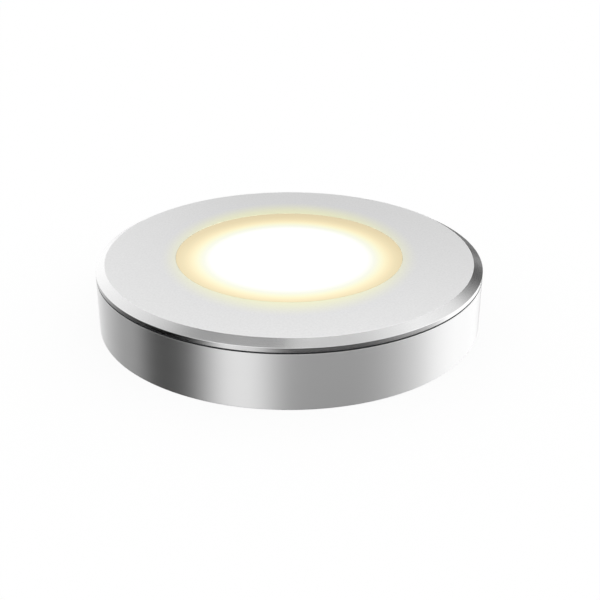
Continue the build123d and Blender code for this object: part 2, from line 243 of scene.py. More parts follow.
@dataclass(frozen=True)
class TurnedMetal(Finish):
    """Metal turned on a lathe and polished. Its fine lines run round the axis, so that each
    light is drawn out across them while its sides stay sharp: upright bands on a wall."""

    anisotropy: float = 1.0
    # The real lines are some 0.02 mm apart, too fine to show, and are drawn ten times as
    # coarse.
    line_spacing: float = 0.22
    line_depth: float = 0.0003
    roughness_swing: float = 0.012
    line_length: float = 60.0

    def paint(self, tree: bpy.types.NodeTree, shader: bpy.types.Node) -> None:
        """Lays the lathe's lines by radius and height, and turns the shine across them.

        Args:
            tree: The material's tree.
            shader: The material's shader.
        """
        place = add_node(tree, "ShaderNodeTexCoord").outputs["Object"]
        parts = add_node(tree, SEPARATE, {0: place}).outputs
        spacing = self.line_spacing
        across = add_node(
            tree, MATH, {0: axis_distance(tree), 1: 1 / spacing}, operation="MULTIPLY"
        )
        upwards = add_node(
            tree, MATH, {0: parts["Z"], 1: 1 / (spacing * MM)}, operation="MULTIPLY"
        )
        along = add_node(
            tree, MATH, {0: parts["X"], 1: 1 / (self.line_length * MM)}, operation="MULTIPLY"
        )
        lines = add_node(
            tree, NOISE,
            {"Vector": add_node(tree, COMBINE, {0: across, 1: along, 2: upwards}),
             "Scale": 1.0, "Detail": NOISE_DETAIL},
        )
        round_axis = add_node(
            tree, VECTOR_MATH, {0: (0.0, 0.0, 1.0), 1: place}, operation="CROSS_PRODUCT"
        )
        low, high = self.roughness - self.roughness_swing, self.roughness + self.roughness_swing
        feed(tree, shader, {
            "Metallic": 1.0,
            "Roughness": add_node(
                tree, MAP_RANGE,
                {"Value": lines, "From Min": NOISE_LOW, "From Max": NOISE_HIGH,
                 "To Min": low, "To Max": high},
            ),
            "Anisotropic": self.anisotropy,
            "Anisotropic Rotation": ACROSS_THE_LINES,
            "Tangent": round_axis,
            "Normal": add_node(
                tree, BUMP, {"Distance": self.line_depth * MM, "Height": lines.outputs[0]}
            ),
        })


@dataclass(frozen=True)
class BlastedMetal(Finish):
    """Aluminium blasted with glass beads and anodised clear: an even satin grey with a grain
    that the eye just sees. Round the window the window's warm light is painted into its colour."""

    # The real dimples are 0.05 to 0.1 mm wide, too fine to show, and are drawn coarser.
    grain_size: float = 0.35
    grain_depth: float = 0.003
    shade: float = 0.84
    # The ring of painted warm light round the window, in the base colour: its colour, start,
    # width, stretch along X and centre.
    painted_glow_colour: str = "#FFFFDC"
    painted_glow_start: float = 19.5
    painted_glow_reach: float = 6.6
    painted_glow_stretch: float = 1.13
    painted_glow_centre: Point = (0.0, 0.6)

    def paint(self, tree: bpy.types.NodeTree, shader: bpy.types.Node) -> None:
        """Lays the blasted grain and paints the ring of warm light round the window into the
        colour.

        Args:
            tree: The material's tree.
            shader: The material's shader.
        """
        dimples = speckle(tree, self.grain_size)
        grained = self.marked(tree, dimples, self.shade, self.grain_depth)
        # Painted light: the face's colour turns warm near the window, a painted glow of the
        # window's light.
        near = add_node(
            tree, MAP_RANGE,
            {"Value": axis_distance(tree, self.painted_glow_centre, self.painted_glow_stretch),
             "From Min": self.painted_glow_start, "From Max": self.painted_glow_start + self.painted_glow_reach,
             "To Min": 1.0, "To Max": 0.0},
            interpolation_type="SMOOTHSTEP",
        )
        with_painted_glow = add_node(
            tree, MIX, {0: near, 6: grained["Base Color"], 7: linear(self.painted_glow_colour)},
            data_type="RGBA",
        )
        feed(tree, shader, grained | {"Metallic": 1.0, "Base Color": with_painted_glow.outputs[2]})


@dataclass(frozen=True)
class OpalAcrylic(Finish):
    """Acrylic clouded with white pigment and lit from behind: pure white in the middle, it
    turns to pale yellow, cream and tan near the rim, where no light package stands behind
    it. The glow's stops are distances from its middle in millimetres."""

    glow_centre: Point = (0.0, -1.65)
    # The colours weren't chosen by hand: scratch programs worked them out, from the colour
    # that the photograph shows at each stop but the first and from what the render made of it.
    glow: tuple[tuple[float, str], ...] = (
        (13.2, "#E2E5EA"),
        (15.0, "#CFD3C7"),
        (16.0, "#D3D4B4"),
        (16.8, "#D6CDA1"),
        (17.8, "#CFBE8E"),
        (18.6, "#C4B484"),
        (19.7, "#BCAA79"),
        (21.5, "#B4A377"),
    )
    ior: float = 1.49

    def paint(self, tree: bpy.types.NodeTree, shader: bpy.types.Node) -> None:
        """Lays the glow, whose middle lies a little to the front of the lens's.

        Args:
            tree: The material's tree.
            shader: The material's shader.
        """
        reach = self.glow[-1][0]
        ramp = add_node(tree, "ShaderNodeValToRGB", {"Fac": add_node(
            tree, MATH, {0: axis_distance(tree, self.glow_centre), 1: reach},
            operation="DIVIDE",
        )})
        stops = ramp.color_ramp.elements
        stops.remove(stops[0])
        stops[0].color = linear(self.glow[-1][1])
        for distance, colour in self.glow[:-1]:
            stops.new(distance / reach).color = linear(colour)
        feed(tree, shader, {
            "IOR": self.ior,
            "Emission Color": ramp.outputs["Color"],
            "Emission Strength": 1.0,
        })


@dataclass(frozen=True)
class Moulding(Finish):
    """Moulded plastic, rubber or silicone with the fine grain of its mould."""

    # A mould's grain is 0.02 to 0.05 mm wide and is drawn coarser, so that it shows.
    grain_size: float = 0.2
    grain_depth: float = 0.004
    shade: float = 0.9
    ior: float = 1.5

    def paint(self, tree: bpy.types.NodeTree, shader: bpy.types.Node) -> None:
        """Lays the mould's grain and a slight change of shade.

        Args:
            tree: The material's tree.
            shader: The material's shader.
        """
        spots = speckle(tree, self.grain_size)
        grained = self.marked(tree, spots, self.shade, self.grain_depth)
        feed(tree, shader, grained | {"IOR": self.ior})


@dataclass(frozen=True)
class LitPhosphor(Moulding):
    """Silicone loaded with phosphor: granular yellow that glows while the light is on."""

    glow: float = 0.35

    def paint(self, tree: bpy.types.NodeTree, shader: bpy.types.Node) -> None:
        """Adds the glow to the grain.

        Args:
            tree: The material's tree.
            shader: The material's shader.
        """
        Moulding.paint(self, tree, shader)
        feed(tree, shader, {
            "Emission Color": linear(self.colour), "Emission Strength": self.glow,
        })


@dataclass(frozen=True)
class RolledMetal(Finish):
    """Rolled or drawn metal, plated or bare: faint lines along X from the rolls."""

    # The rolls' lines are about 0.03 mm apart and are drawn coarser, so that they show.
    line_spacing: float = 0.15
    line_length: float = 6.0
    line_depth: float = 0.0008
    shade: float = 0.88

    def paint(self, tree: bpy.types.NodeTree, shader: bpy.types.Node) -> None:
        """Lays the lines of the rolls.

        Args:
            tree: The material's tree.
            shader: The material's shader.
        """
        place = add_node(tree, "ShaderNodeTexCoord").outputs["Object"]
        across = 1 / (self.line_spacing * MM)
        stretched = add_node(
            tree, VECTOR_MATH, {0: place, 1: (1 / (self.line_length * MM), across, across)},
            operation="MULTIPLY",
        )
        lines = add_node(
            tree, NOISE, {"Vector": stretched, "Scale": 1.0, "Detail": NOISE_DETAIL}
        )
        lined = self.marked(tree, lines, self.shade, self.line_depth)
        feed(tree, shader, lined | {"Metallic": 1.0})


@dataclass(frozen=True)
class SolderMask(Finish):
    """White lacquer over copper: the ring-shaped tracks beneath stand out a little and look
    slightly darker."""

    track_spacing: float = 2.4
    track_share: float = 0.62
    edge: float = 0.04
    track_height: float = 0.035
    track_shade: float = 0.9
    # The lacquer's ripples, and their height as a share of the track's.
    lacquer_grain: float = 0.15
    lacquer_share: float = 0.1

    def paint(self, tree: bpy.types.NodeTree, shader: bpy.types.Node) -> None:
        """Lays the rings of copper under the lacquer.

        Args:
            tree: The material's tree.
            shader: The material's shader.
        """
        turns = add_node(
            tree, MATH, {0: axis_distance(tree), 1: self.track_spacing}, operation="DIVIDE"
        )
        wave = add_node(tree, MATH, {0: turns, 1: 1.0}, operation="PINGPONG")
        track = add_node(
            tree, MAP_RANGE,
            {"Value": wave, "From Min": self.track_share + self.edge,
             "From Max": self.track_share - self.edge},
            interpolation_type="SMOOTHSTEP",
        )
        lacquer = speckle(tree, self.lacquer_grain)
        height = add_node(
            tree, MATH, {0: lacquer, 1: self.lacquer_share, 2: track.outputs[0]},
            operation="MULTIPLY_ADD",
        )
        tint = add_node(
            tree, MIX,
            {0: track, 6: linear(self.colour), 7: linear(self.colour, self.track_shade)},
            data_type="RGBA",
        )
        feed(tree, shader, {
            "Base Color": tint.outputs[2],
            "Normal": add_node(
                tree, BUMP, {"Distance": self.track_height * MM, "Height": height}
            ),
        })


# Polished on the lathe: the wall mirrors the studio in soft upright bands of grey.
CASING_METAL = TurnedMetal("turned_polished_aluminium", "#EDEDED", 0.38)
# Left as the tool cut it, inside and beneath: duller, with rings that show, and darker as painted
# shade, so that the seam and the inside look shaded.
INNER_METAL_PAINTED_SHADE = TurnedMetal(
    "turned_aluminium_painted_shade", "#8E9092", 0.5, anisotropy=0.7, line_spacing=0.3,
    line_depth=0.004,
)
# Polished finer than the wall: a narrow bright hoop over the seam, with harder bands.
RIM_METAL = TurnedMetal(
    "polished_rim_aluminium", "#E7E7E7", 0.22, anisotropy=0.9, line_spacing=0.18,
    line_depth=0.0006,
)
# Cut with a diamond and left bright: a clean mirror that hardly scatters.
BEVEL_METAL = TurnedMetal(
    "diamond_cut_aluminium", "#F1F1F1", 0.2, anisotropy=0.5, line_spacing=0.12,
    line_depth=0.0001, roughness_swing=0.006,
)
# Blasted with glass beads, then anodised: an even pale satin that mirrors nothing sharply, with
# painted warm light round the window.
FACE_METAL = BlastedMetal("blasted_anodised_aluminium", "#F6F6F6", 0.42)
# Milky and glossy: it hides the packages and glows evenly, warmer towards its edge.
WINDOW_ACRYLIC = OpalAcrylic("opal_acrylic", "#989388", 0.2)
# Moulded rubber: dull black that takes up the light.
GROMMET_RUBBER = Moulding("moulded_black_rubber", "#29292A", 0.62, grain_depth=0.006)
# Moulded silicone: pale, smooth and a little shiny.
SEAL_SILICONE = Moulding("moulded_clear_grey_silicone", "#C9CBC8", 0.4)
# Moulded polycarbonate: clean white with a soft gloss, which throws the light forward.
CUP_PLASTIC = Moulding("moulded_white_polycarbonate", "#F2F2EE", 0.35, ior=1.58)
# Moulded white resin: as the cup, with a finer grain on a small part.
PACKAGE_PLASTIC = Moulding("moulded_white_package", "#EFEFE9", 0.4, grain_size=0.1)
# Phosphor powder set in silicone: deep yellow grains that glow.
PHOSPHOR = LitPhosphor("phosphor_in_silicone", "#F3C94B", 0.5, grain_size=0.06, shade=0.7)
# Moulded nylon: slightly creamy white with a low gloss.
CONNECTOR_PLASTIC = Moulding("moulded_white_nylon", "#EDECE4", 0.45, ior=1.53)
# Moulded epoxy: nearly black, matt and finely pitted.
CHIP_EPOXY = Moulding("moulded_black_epoxy", "#1D1D1F", 0.5, grain_size=0.1)
# Glazed ceramic: black with a glassy shine.
RESISTOR_CERAMIC = Moulding("glazed_black_ceramic", "#191A1C", 0.3, grain_size=0.12)
# Sintered ceramic: matt tan, like unglazed pottery.
CAPACITOR_CERAMIC = Moulding("sintered_tan_ceramic", "#A48A6A", 0.45, grain_size=0.12)
# Silicone filled with powder: chalky grey with darker specks.
PAD_SILICONE = Moulding("filled_grey_silicone", "#8D9297", 0.8, grain_size=0.15, shade=0.8)
# Lacquer over etched copper: glossy white with faint steps where the tracks run.
BOARD_MASK = SolderMask("white_solder_mask", "#F0F1EE", 0.3)
# Tinned copper: soft bright silver.
TIN_PLATE = RolledMetal("tin_plated_copper", "#D5D6D4", 0.32)
# Rolled sheet: pale grey with faint lines that all run one way.
SPREADER_METAL = RolledMetal("rolled_aluminium", "#D9DBDD", 0.36, line_spacing=0.25)
# Zinc-plated steel: cool bright silver.
SCREW_STEEL = RolledMetal("zinc_plated_steel", "#C4C8CC", 0.3)
# Drawn wire, bare: darker, harder silver.
RING_STEEL = RolledMetal("drawn_spring_steel", "#A9ABAD", 0.28)


def rounded(
    corners: list[Point], radii: dict[int, float], steps: int = 5, support: float = 0.06,
    closed: bool = False,
) -> list[Point]:
    """Rounds the corners of an outline and holds its straight runs flat.

    Args:
        corners: The outline's corners in millimetres.
        radii: The radius of the round at each corner that has one, by its place in the list.
        steps: How many short runs make one round.
        support: How far from a run's ends extra points hold it flat, or 0 for none.
        closed: Whether the outline runs on from its last corner to its first.

    Returns:
        The outline's points.
    """
    count = len(corners)
    rounds: list[list[Vector]] = []
    for place in range(count):
        corner = Vector(corners[place])
        radius = radii.get(place, 0.0)
        if not radius:
            rounds.append([corner])
            continue
        before = (Vector(corners[place - 1]) - corner).normalized()
        after = (Vector(corners[(place + 1) % count]) - corner).normalized()
        half = before.angle(after) / 2
        reach = radius / math.tan(half)
        centre = corner + (before + after).normalized() * (radius / math.sin(half))
        first, last = corner + before * reach - centre, corner + after * reach - centre
        sweep = first.angle_signed(last)
        rounds.append([
            centre + Matrix.Rotation(-sweep * step / steps, 2) @ first
            for step in range(steps + 1)
        ])
    points: list[Vector] = []
    least_run = 4 * support  # A shorter run has no room for the extra points.
    for place, current in enumerate(rounds):
        points += current
        if place == count - 1 and not closed:
            break
        start, end = current[-1], rounds[(place + 1) % count][0]
        run = end - start
        if support and run.length > least_run:
            step = run.normalized() * support
            points += [start + step, end - step]
    return [(point.x, point.y) for point in points]


def rectangle(width: float, depth: float, centre: Point = (0.0, 0.0)) -> list[Point]:
    """The corners of an upright rectangle.

    Args:
        width: Its size sideways.
        depth: Its size upwards.
        centre: Its middle.

    Returns:
        The four corners, in turn.
    """
    x, y = centre
    right, top = width / 2, depth / 2
    return [(x - right, y - top), (x + right, y - top), (x + right, y + top), (x - right, y + top)]


def shifted(outline: list[Point], x: float, y: float) -> list[Point]:
    """An outline moved sideways and up."""
    return [(across + x, upwards + y) for across, upwards in outline]


def arch(radius: float, middle: float, base: float, steps: int = 32) -> list[Point]:
    """An outline with a half round above and straight sides down to a flat base.

    Args:
        radius: The radius of the round.
        middle: The height of its centre.
        base: The height of the base.
        steps: How many short runs make the round.

    Returns:
        The outline's points.
    """
    turns = [math.pi * step / steps for step in range(steps + 1)]
    bow = [(radius * math.cos(turn), middle + radius * math.sin(turn)) for turn in turns]
    return bow + [(-radius, base), (radius, base)]


def new_tree(
    name: str, inputs: dict[str, str]
) -> tuple[bpy.types.NodeTree, bpy.types.bpy_prop_collection]:
    """Starts a geometry tree with named inputs and one geometry output.

    Args:
        name: The tree's name.
        inputs: The kind of socket of each input.

    Returns:
        The tree and the outputs of its input node.
    """
    tree = bpy.data.node_groups.new(name, "GeometryNodeTree")
    for title, kind in inputs.items():
        tree.interface.new_socket(title, in_out="INPUT", socket_type=f"NodeSocket{kind}")
    tree.interface.new_socket("Geometry", in_out="OUTPUT", socket_type="NodeSocketGeometry")
    return tree, add_node(tree, "NodeGroupInput").outputs


def end_tree(
    tree: bpy.types.NodeTree, geometry: bpy.types.Node, material: bpy.types.NodeSocket
) -> None:
    """Ends a geometry tree: makes instances real, sets the material and gives it out.

    Args:
        tree: The tree.
        geometry: The node that holds the finished geometry.
        material: The tree's own material input.
    """
    real = add_node(tree, "GeometryNodeRealizeInstances", {"Geometry": geometry})
    dressed = add_node(
        tree, "GeometryNodeSetMaterial", {"Geometry": real, "Material": material}
    )
    add_node(tree, "NodeGroupOutput", {"Geometry": dressed})


def turning_tree() -> bpy.types.NodeTree:
    """The tree that turns a profile round the Z axis, as a lathe does.

    Returns:
        A tree with the inputs Profile, Segments and Material.
    """
    tree, given = new_tree(
        "turned_piece", {"Profile": "Geometry", "Segments": "Int", "Material": "Material"}
    )
    size = add_node(tree, "GeometryNodeAttributeDomainSize", {"Geometry": given["Profile"]})
    rows = size.outputs["Point Count"]
    columns = add_node(tree, MATH, {0: given["Segments"], 1: 1.0}, operation="ADD")
    sheet = add_node(tree, "GeometryNodeMeshGrid", {"Vertices X": columns, "Vertices Y": rows})
    index = add_node(tree, "GeometryNodeInputIndex")
    row = add_node(tree, MATH, {0: index, 1: rows}, operation="MODULO")
    share = add_node(tree, MATH, {0: index, 1: rows}, operation="DIVIDE")
    column = add_node(tree, MATH, {0: share}, operation="FLOOR")
    place = add_node(tree, "GeometryNodeSampleIndex", {
        "Geometry": given["Profile"], "Index": row,
        "Value": add_node(tree, "GeometryNodeInputPosition"),
    }, data_type="FLOAT_VECTOR")
    turns = add_node(tree, MATH, {0: column, 1: given["Segments"]}, operation="DIVIDE")
    angle = add_node(tree, MATH, {0: turns, 1: math.tau}, operation="MULTIPLY")
    turned_place = add_node(
        tree, "ShaderNodeVectorRotate", {"Vector": place, "Angle": angle},
        rotation_type="Z_AXIS",
    )
    moved = add_node(
        tree, "GeometryNodeSetPosition", {"Geometry": sheet, "Position": turned_place}
    )
    closed = add_node(
        tree, "GeometryNodeMergeByDistance", {"Geometry": moved, "Distance": LATHE_MERGE}
    )
    end_tree(tree, closed, given["Material"])
    return tree


def circling_tree() -> bpy.types.NodeTree:
    """The tree that repeats a piece round the Z axis.

    Returns:
        A tree with the inputs Piece, Count, Start and Step (in degrees) and Material.
    """
    tree, given = new_tree("pieces_in_a_circle", {
        "Piece": "Geometry", "Count": "Int", "Start": "Float", "Step": "Float",
        "Material": "Material",
    })
    points = add_node(tree, "GeometryNodePoints", {"Count": given["Count"]})
    index = add_node(tree, "GeometryNodeInputIndex")
    degrees = add_node(
        tree, MATH, {0: index, 1: given["Step"], 2: given["Start"]}, operation="MULTIPLY_ADD"
    )
    radians = add_node(tree, MATH, {0: degrees}, operation="RADIANS")
    spread = add_node(tree, "GeometryNodeInstanceOnPoints", {
        "Points": points, "Instance": given["Piece"],
        "Rotation": add_node(tree, COMBINE, {"Z": radians}),
    })
    end_tree(tree, spread, given["Material"])
    return tree


def wire_tree() -> bpy.types.NodeTree:
    """The tree that lays a round wire along a part of a circle, with closed ends.

    Returns:
        A tree with the inputs Radius, Start and Sweep (in degrees), Height, Wire (the wire's
        own radius), Segments, Sides and Material.
    """
    tree, given = new_tree("bent_wire", {
        "Radius": "Float", "Start": "Float", "Sweep": "Float", "Height": "Float",
        "Wire": "Float", "Segments": "Int", "Sides": "Int", "Material": "Material",
    })
    angles = [
        add_node(tree, MATH, {0: given[name]}, operation="RADIANS") for name in ("Start", "Sweep")
    ]
    arc = add_node(tree, "GeometryNodeCurveArc", {
        "Resolution": given["Segments"], "Radius": given["Radius"],
        "Start Angle": angles[0], "Sweep Angle": angles[1],
    })
    lifted = add_node(tree, "GeometryNodeTransform", {
        "Geometry": arc, "Translation": add_node(tree, COMBINE, {"Z": given["Height"]}),
    })
    section = add_node(
        tree, "GeometryNodeCurvePrimitiveCircle",
        {"Resolution": given["Sides"], "Radius": given["Wire"]},
    )
    wire = add_node(tree, "GeometryNodeCurveToMesh", {
        "Curve": lifted, "Profile Curve": section, "Fill Caps": True,
    })
    end_tree(tree, wire, given["Material"])
    return tree


def new_object(name: str, mesh: bpy.types.Mesh) -> bpy.types.Object:
    """Puts a mesh into the scene as an object at the origin.

    Args:
        name: The object's name.
        mesh: Its mesh.

    Returns:
        The object.
    """
    piece = bpy.data.objects.new(name, mesh)
    bpy.context.scene.collection.objects.link(piece)
    return piece


def settle(piece: bpy.types.Object) -> bpy.types.Object:
    """Turns a piece with its modifiers into a plain mesh with its faces outwards.

    Double points, slivers and empty material slots go.

    Args:
        piece: The piece, whose modifiers are used up.

    Returns:
        The same piece.
    """
    bpy.context.view_layer.update()
    shown = piece.evaluated_get(bpy.context.evaluated_depsgraph_get())
    mesh = bpy.data.meshes.new_from_object(shown)
    piece.modifiers.clear()
    old, piece.data = piece.data, mesh
    bpy.data.meshes.remove(old)
    work = bmesh.new()
    work.from_mesh(mesh)
    bmesh.ops.remove_doubles(work, verts=work.verts, dist=MERGE)
    bmesh.ops.dissolve_degenerate(work, edges=work.edges, dist=MERGE)
    bmesh.ops.recalc_face_normals(work, faces=work.faces)
    work.to_mesh(mesh)
    work.free()
    for place in reversed(range(len(mesh.materials))):
        if mesh.materials[place] is None:
            mesh.materials.pop(index=place)
    mesh.name = piece.name
    return piece


def run_tree(
    piece: bpy.types.Object, tree: bpy.types.NodeTree, **values: object
) -> bpy.types.Object:
    """Runs a geometry tree on a piece and keeps what comes out as its plain mesh.

    Args:
        piece: The piece, whose mesh is the tree's first input where that is geometry.
        tree: The tree.
        values: The tree's other inputs by name.

    Returns:
        The same piece.
    """
    modifier = piece.modifiers.new(tree.name, "NODES")
    modifier.node_group = tree
    for socket in tree.interface.items_tree:
        if socket.in_out == "INPUT" and socket.name in values:
            modifier[socket.identifier] = values[socket.name]
    return settle(piece)


TURNING, CIRCLING, WIRE = turning_tree(), circling_tree(), wire_tree()


def turned(
    name: str, profile: list[Point], finish: Finish, segments: int = LARGE_SIDES
) -> bpy.types.Object:
    """A piece turned from a profile.

    Args:
        name: The piece's name.
        profile: Radius and height of each point, in millimetres.
        finish: The finish of the whole piece.
        segments: How many flat faces go round it.

    Returns:
        The piece.
    """
    mesh = bpy.data.meshes.new(name)
    points = [(radius * MM, 0.0, height * MM) for radius, height in profile]
    mesh.from_pydata(points, [(n, n + 1) for n in range(len(points) - 1)], [])
    return run_tree(
        new_object(name, mesh), TURNING, Segments=segments, Material=finish.material()
    )


def circled(
    piece: bpy.types.Object, count: int, start: float, step: float, finish: Finish
) -> bpy.types.Object:
    """A piece repeated round the axis.

    Args:
        piece: The piece at an angle of 0, which becomes all of them.
        count: How many there are.
        start: The angle of the first one, in degrees from +X.
        step: The angle from one to the next, in degrees.
        finish: Their finish.

    Returns:
        The same piece.
    """
    return run_tree(
        piece, CIRCLING, Count=count, Start=start, Step=step, Material=finish.material()
    )


def lofted(
    name: str, rings: list[tuple[list[Point], float]], finish: Finish, along: Along = Along.UP
) -> bpy.types.Object:
    """A closed piece drawn through a stack of outlines with as many points each.

    Args:
        name: The piece's name.
        rings: Each outline and its height, or its place along Y, in millimetres.
        finish: The finish of the whole piece.
        along: The axis that the outlines are stacked along.

    Returns:
        The piece.
    """
    work = bmesh.new()
    loops = []
    for outline, level in rings:
        spots = [
            (x, y, level) if along is Along.UP else (x, level, y) for x, y in outline
        ]
        loops.append([work.verts.new(Vector(spot) * MM) for spot in spots])
    count = len(loops[0])
    for low, high in zip(loops, loops[1:]):
        for place in range(count):
            after = (place + 1) % count
            work.faces.new((low[place], low[after], high[after], high[place]))
    work.faces.new(loops[0])
    work.faces.new(loops[-1])
    bmesh.ops.recalc_face_normals(work, faces=work.faces)
    mesh = bpy.data.meshes.new(name)
    work.to_mesh(mesh)
    work.free()
    mesh.materials.append(finish.material())
    return new_object(name, mesh)


def merged(name: str, parts: list[bpy.types.Object], finish: Finish) -> bpy.types.Object:
    """Puts several pieces into one, which takes their place.

    Args:
        name: The new piece's name.
        parts: The pieces, which are used up.
        finish: The finish of the whole piece.

    Returns:
        The new piece.
    """
    work = bmesh.new()
    for part in parts:
        mesh = part.data
        work.from_mesh(mesh)
        bpy.data.objects.remove(part)
        bpy.data.meshes.remove(mesh)
    mesh = bpy.data.meshes.new(name)
    work.to_mesh(mesh)
    work.free()
    mesh.materials.clear()
    mesh.materials.append(finish.material())
    return new_object(name, mesh)


def inset(outline: list[Point], by: float) -> list[Point]:
    """An outline drawn in towards its middle.

    Args:
        outline: The outline.
        by: About how far each side moves in.

    Returns:
        The smaller outline.
    """
    xs, ys = zip(*outline)
    middle = Vector(((min(xs) + max(xs)) / 2, (min(ys) + max(ys)) / 2))
    scale = Vector((1 - 2 * by / (max(xs) - min(xs)), 1 - 2 * by / (max(ys) - min(ys))))
    return [tuple(middle + (Vector(point) - middle) * scale) for point in outline]


def softened(
    outline: list[Point], low: float, high: float, edge: float
) -> list[tuple[list[Point], float]]:
    """The rings of a block whose ends have a broken edge.

    Args:
        outline: The block's outline.
        low: Where it starts.
        high: Where it ends.
        edge: The size of the broken edge.

    Returns:
        The rings, as lofted() takes them.
    """
    drawn_in = inset(outline, edge)
    return [
        (drawn_in, low), (outline, low + edge), (outline, high - edge), (drawn_in, high),
    ]


def work_on(piece: bpy.types.Object, tool: bpy.types.Object, how: Boolean) -> bpy.types.Object:
    """Joins a tool to a piece or cuts it out of it. The tool is used up.

    Args:
        piece: The piece.
        tool: A closed shape.
        how: Whether it is joined or cut out.

    Returns:
        The same piece.
    """
    modifier = piece.modifiers.new(how.name.lower(), "BOOLEAN")
    modifier.operation = how.value
    modifier.solver = "EXACT"
    modifier.object = tool
    settle(piece)
    mesh = tool.data
    bpy.data.objects.remove(tool)
    bpy.data.meshes.remove(mesh)
    return piece


def work_round(
    piece: bpy.types.Object, rings: list[tuple[list[Point], float]], finish: Finish,
    how: Boolean, turns: tuple[float, ...],
) -> None:
    """Joins a block to a piece, or cuts it out, at several angles round the Z axis.

    Args:
        piece: The piece.
        rings: The block's rings at an angle of 0, as lofted() takes them.
        finish: The block's finish.
        how: Whether it is joined or cut out.
        turns: The angles in degrees.
    """
    for turn in turns:
        tool = lofted(f"{piece.name}_tool", rings, finish)
        tool.data.transform(Matrix.Rotation(math.radians(turn), 4, "Z"))
        work_on(piece, tool, how)


def move_out(piece: bpy.types.Object, radius: float) -> None:
    """Moves a piece's mesh along X, out from the axis, by millimetres."""
    piece.data.transform(Matrix.Translation((radius * MM, 0, 0)))


def seat(piece: bpy.types.Object, slot: str, *nodes: str) -> bpy.types.Object:
    """Shades a finished piece, lets it ride on the body and hides the CAD nodes that it stands
    for.

    Args:
        piece: The finished piece.
        slot: The record's material slot. Not used.
        nodes: The CAD nodes that it replaces.

    Returns:
        The same piece.
    """
    piece.data.shade_smooth()
    piece.data.set_sharp_from_angle(angle=SHARP_ANGLE)
    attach(piece, BODY)
    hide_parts(*nodes)
    log.info("%s: %d faces", piece.name, len(piece.data.polygons))
    return piece


def dress(node: str, finish: Finish) -> None:
    """Gives a CAD node its finish, and leaves its shape as it is.

    Args:
        node: The node's name.
        finish: Its finish.
    """
    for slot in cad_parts[node].material_slots:
        slot.material = finish.material()
    log.info("%s: dressed in %s", node, finish.name)


def finish_faces(
    piece: bpy.types.Object, finishes: tuple[Finish, ...],
    choose: Callable[[Vector, Vector], Finish],
) -> None:
    """Gives each face of a piece the finish of the place where it lies.

    Args:
        piece: The piece.
        finishes: Every finish that it has.
        choose: Picks one by a face's centre, in millimetres, and its normal.
    """
    mesh = piece.data
    mesh.materials.clear()
    for finish in finishes:
        mesh.materials.append(finish.material())
    for polygon in mesh.polygons:
        finish = choose(polygon.center / MM, polygon.normal)
        polygon.material_index = finishes.index(finish)


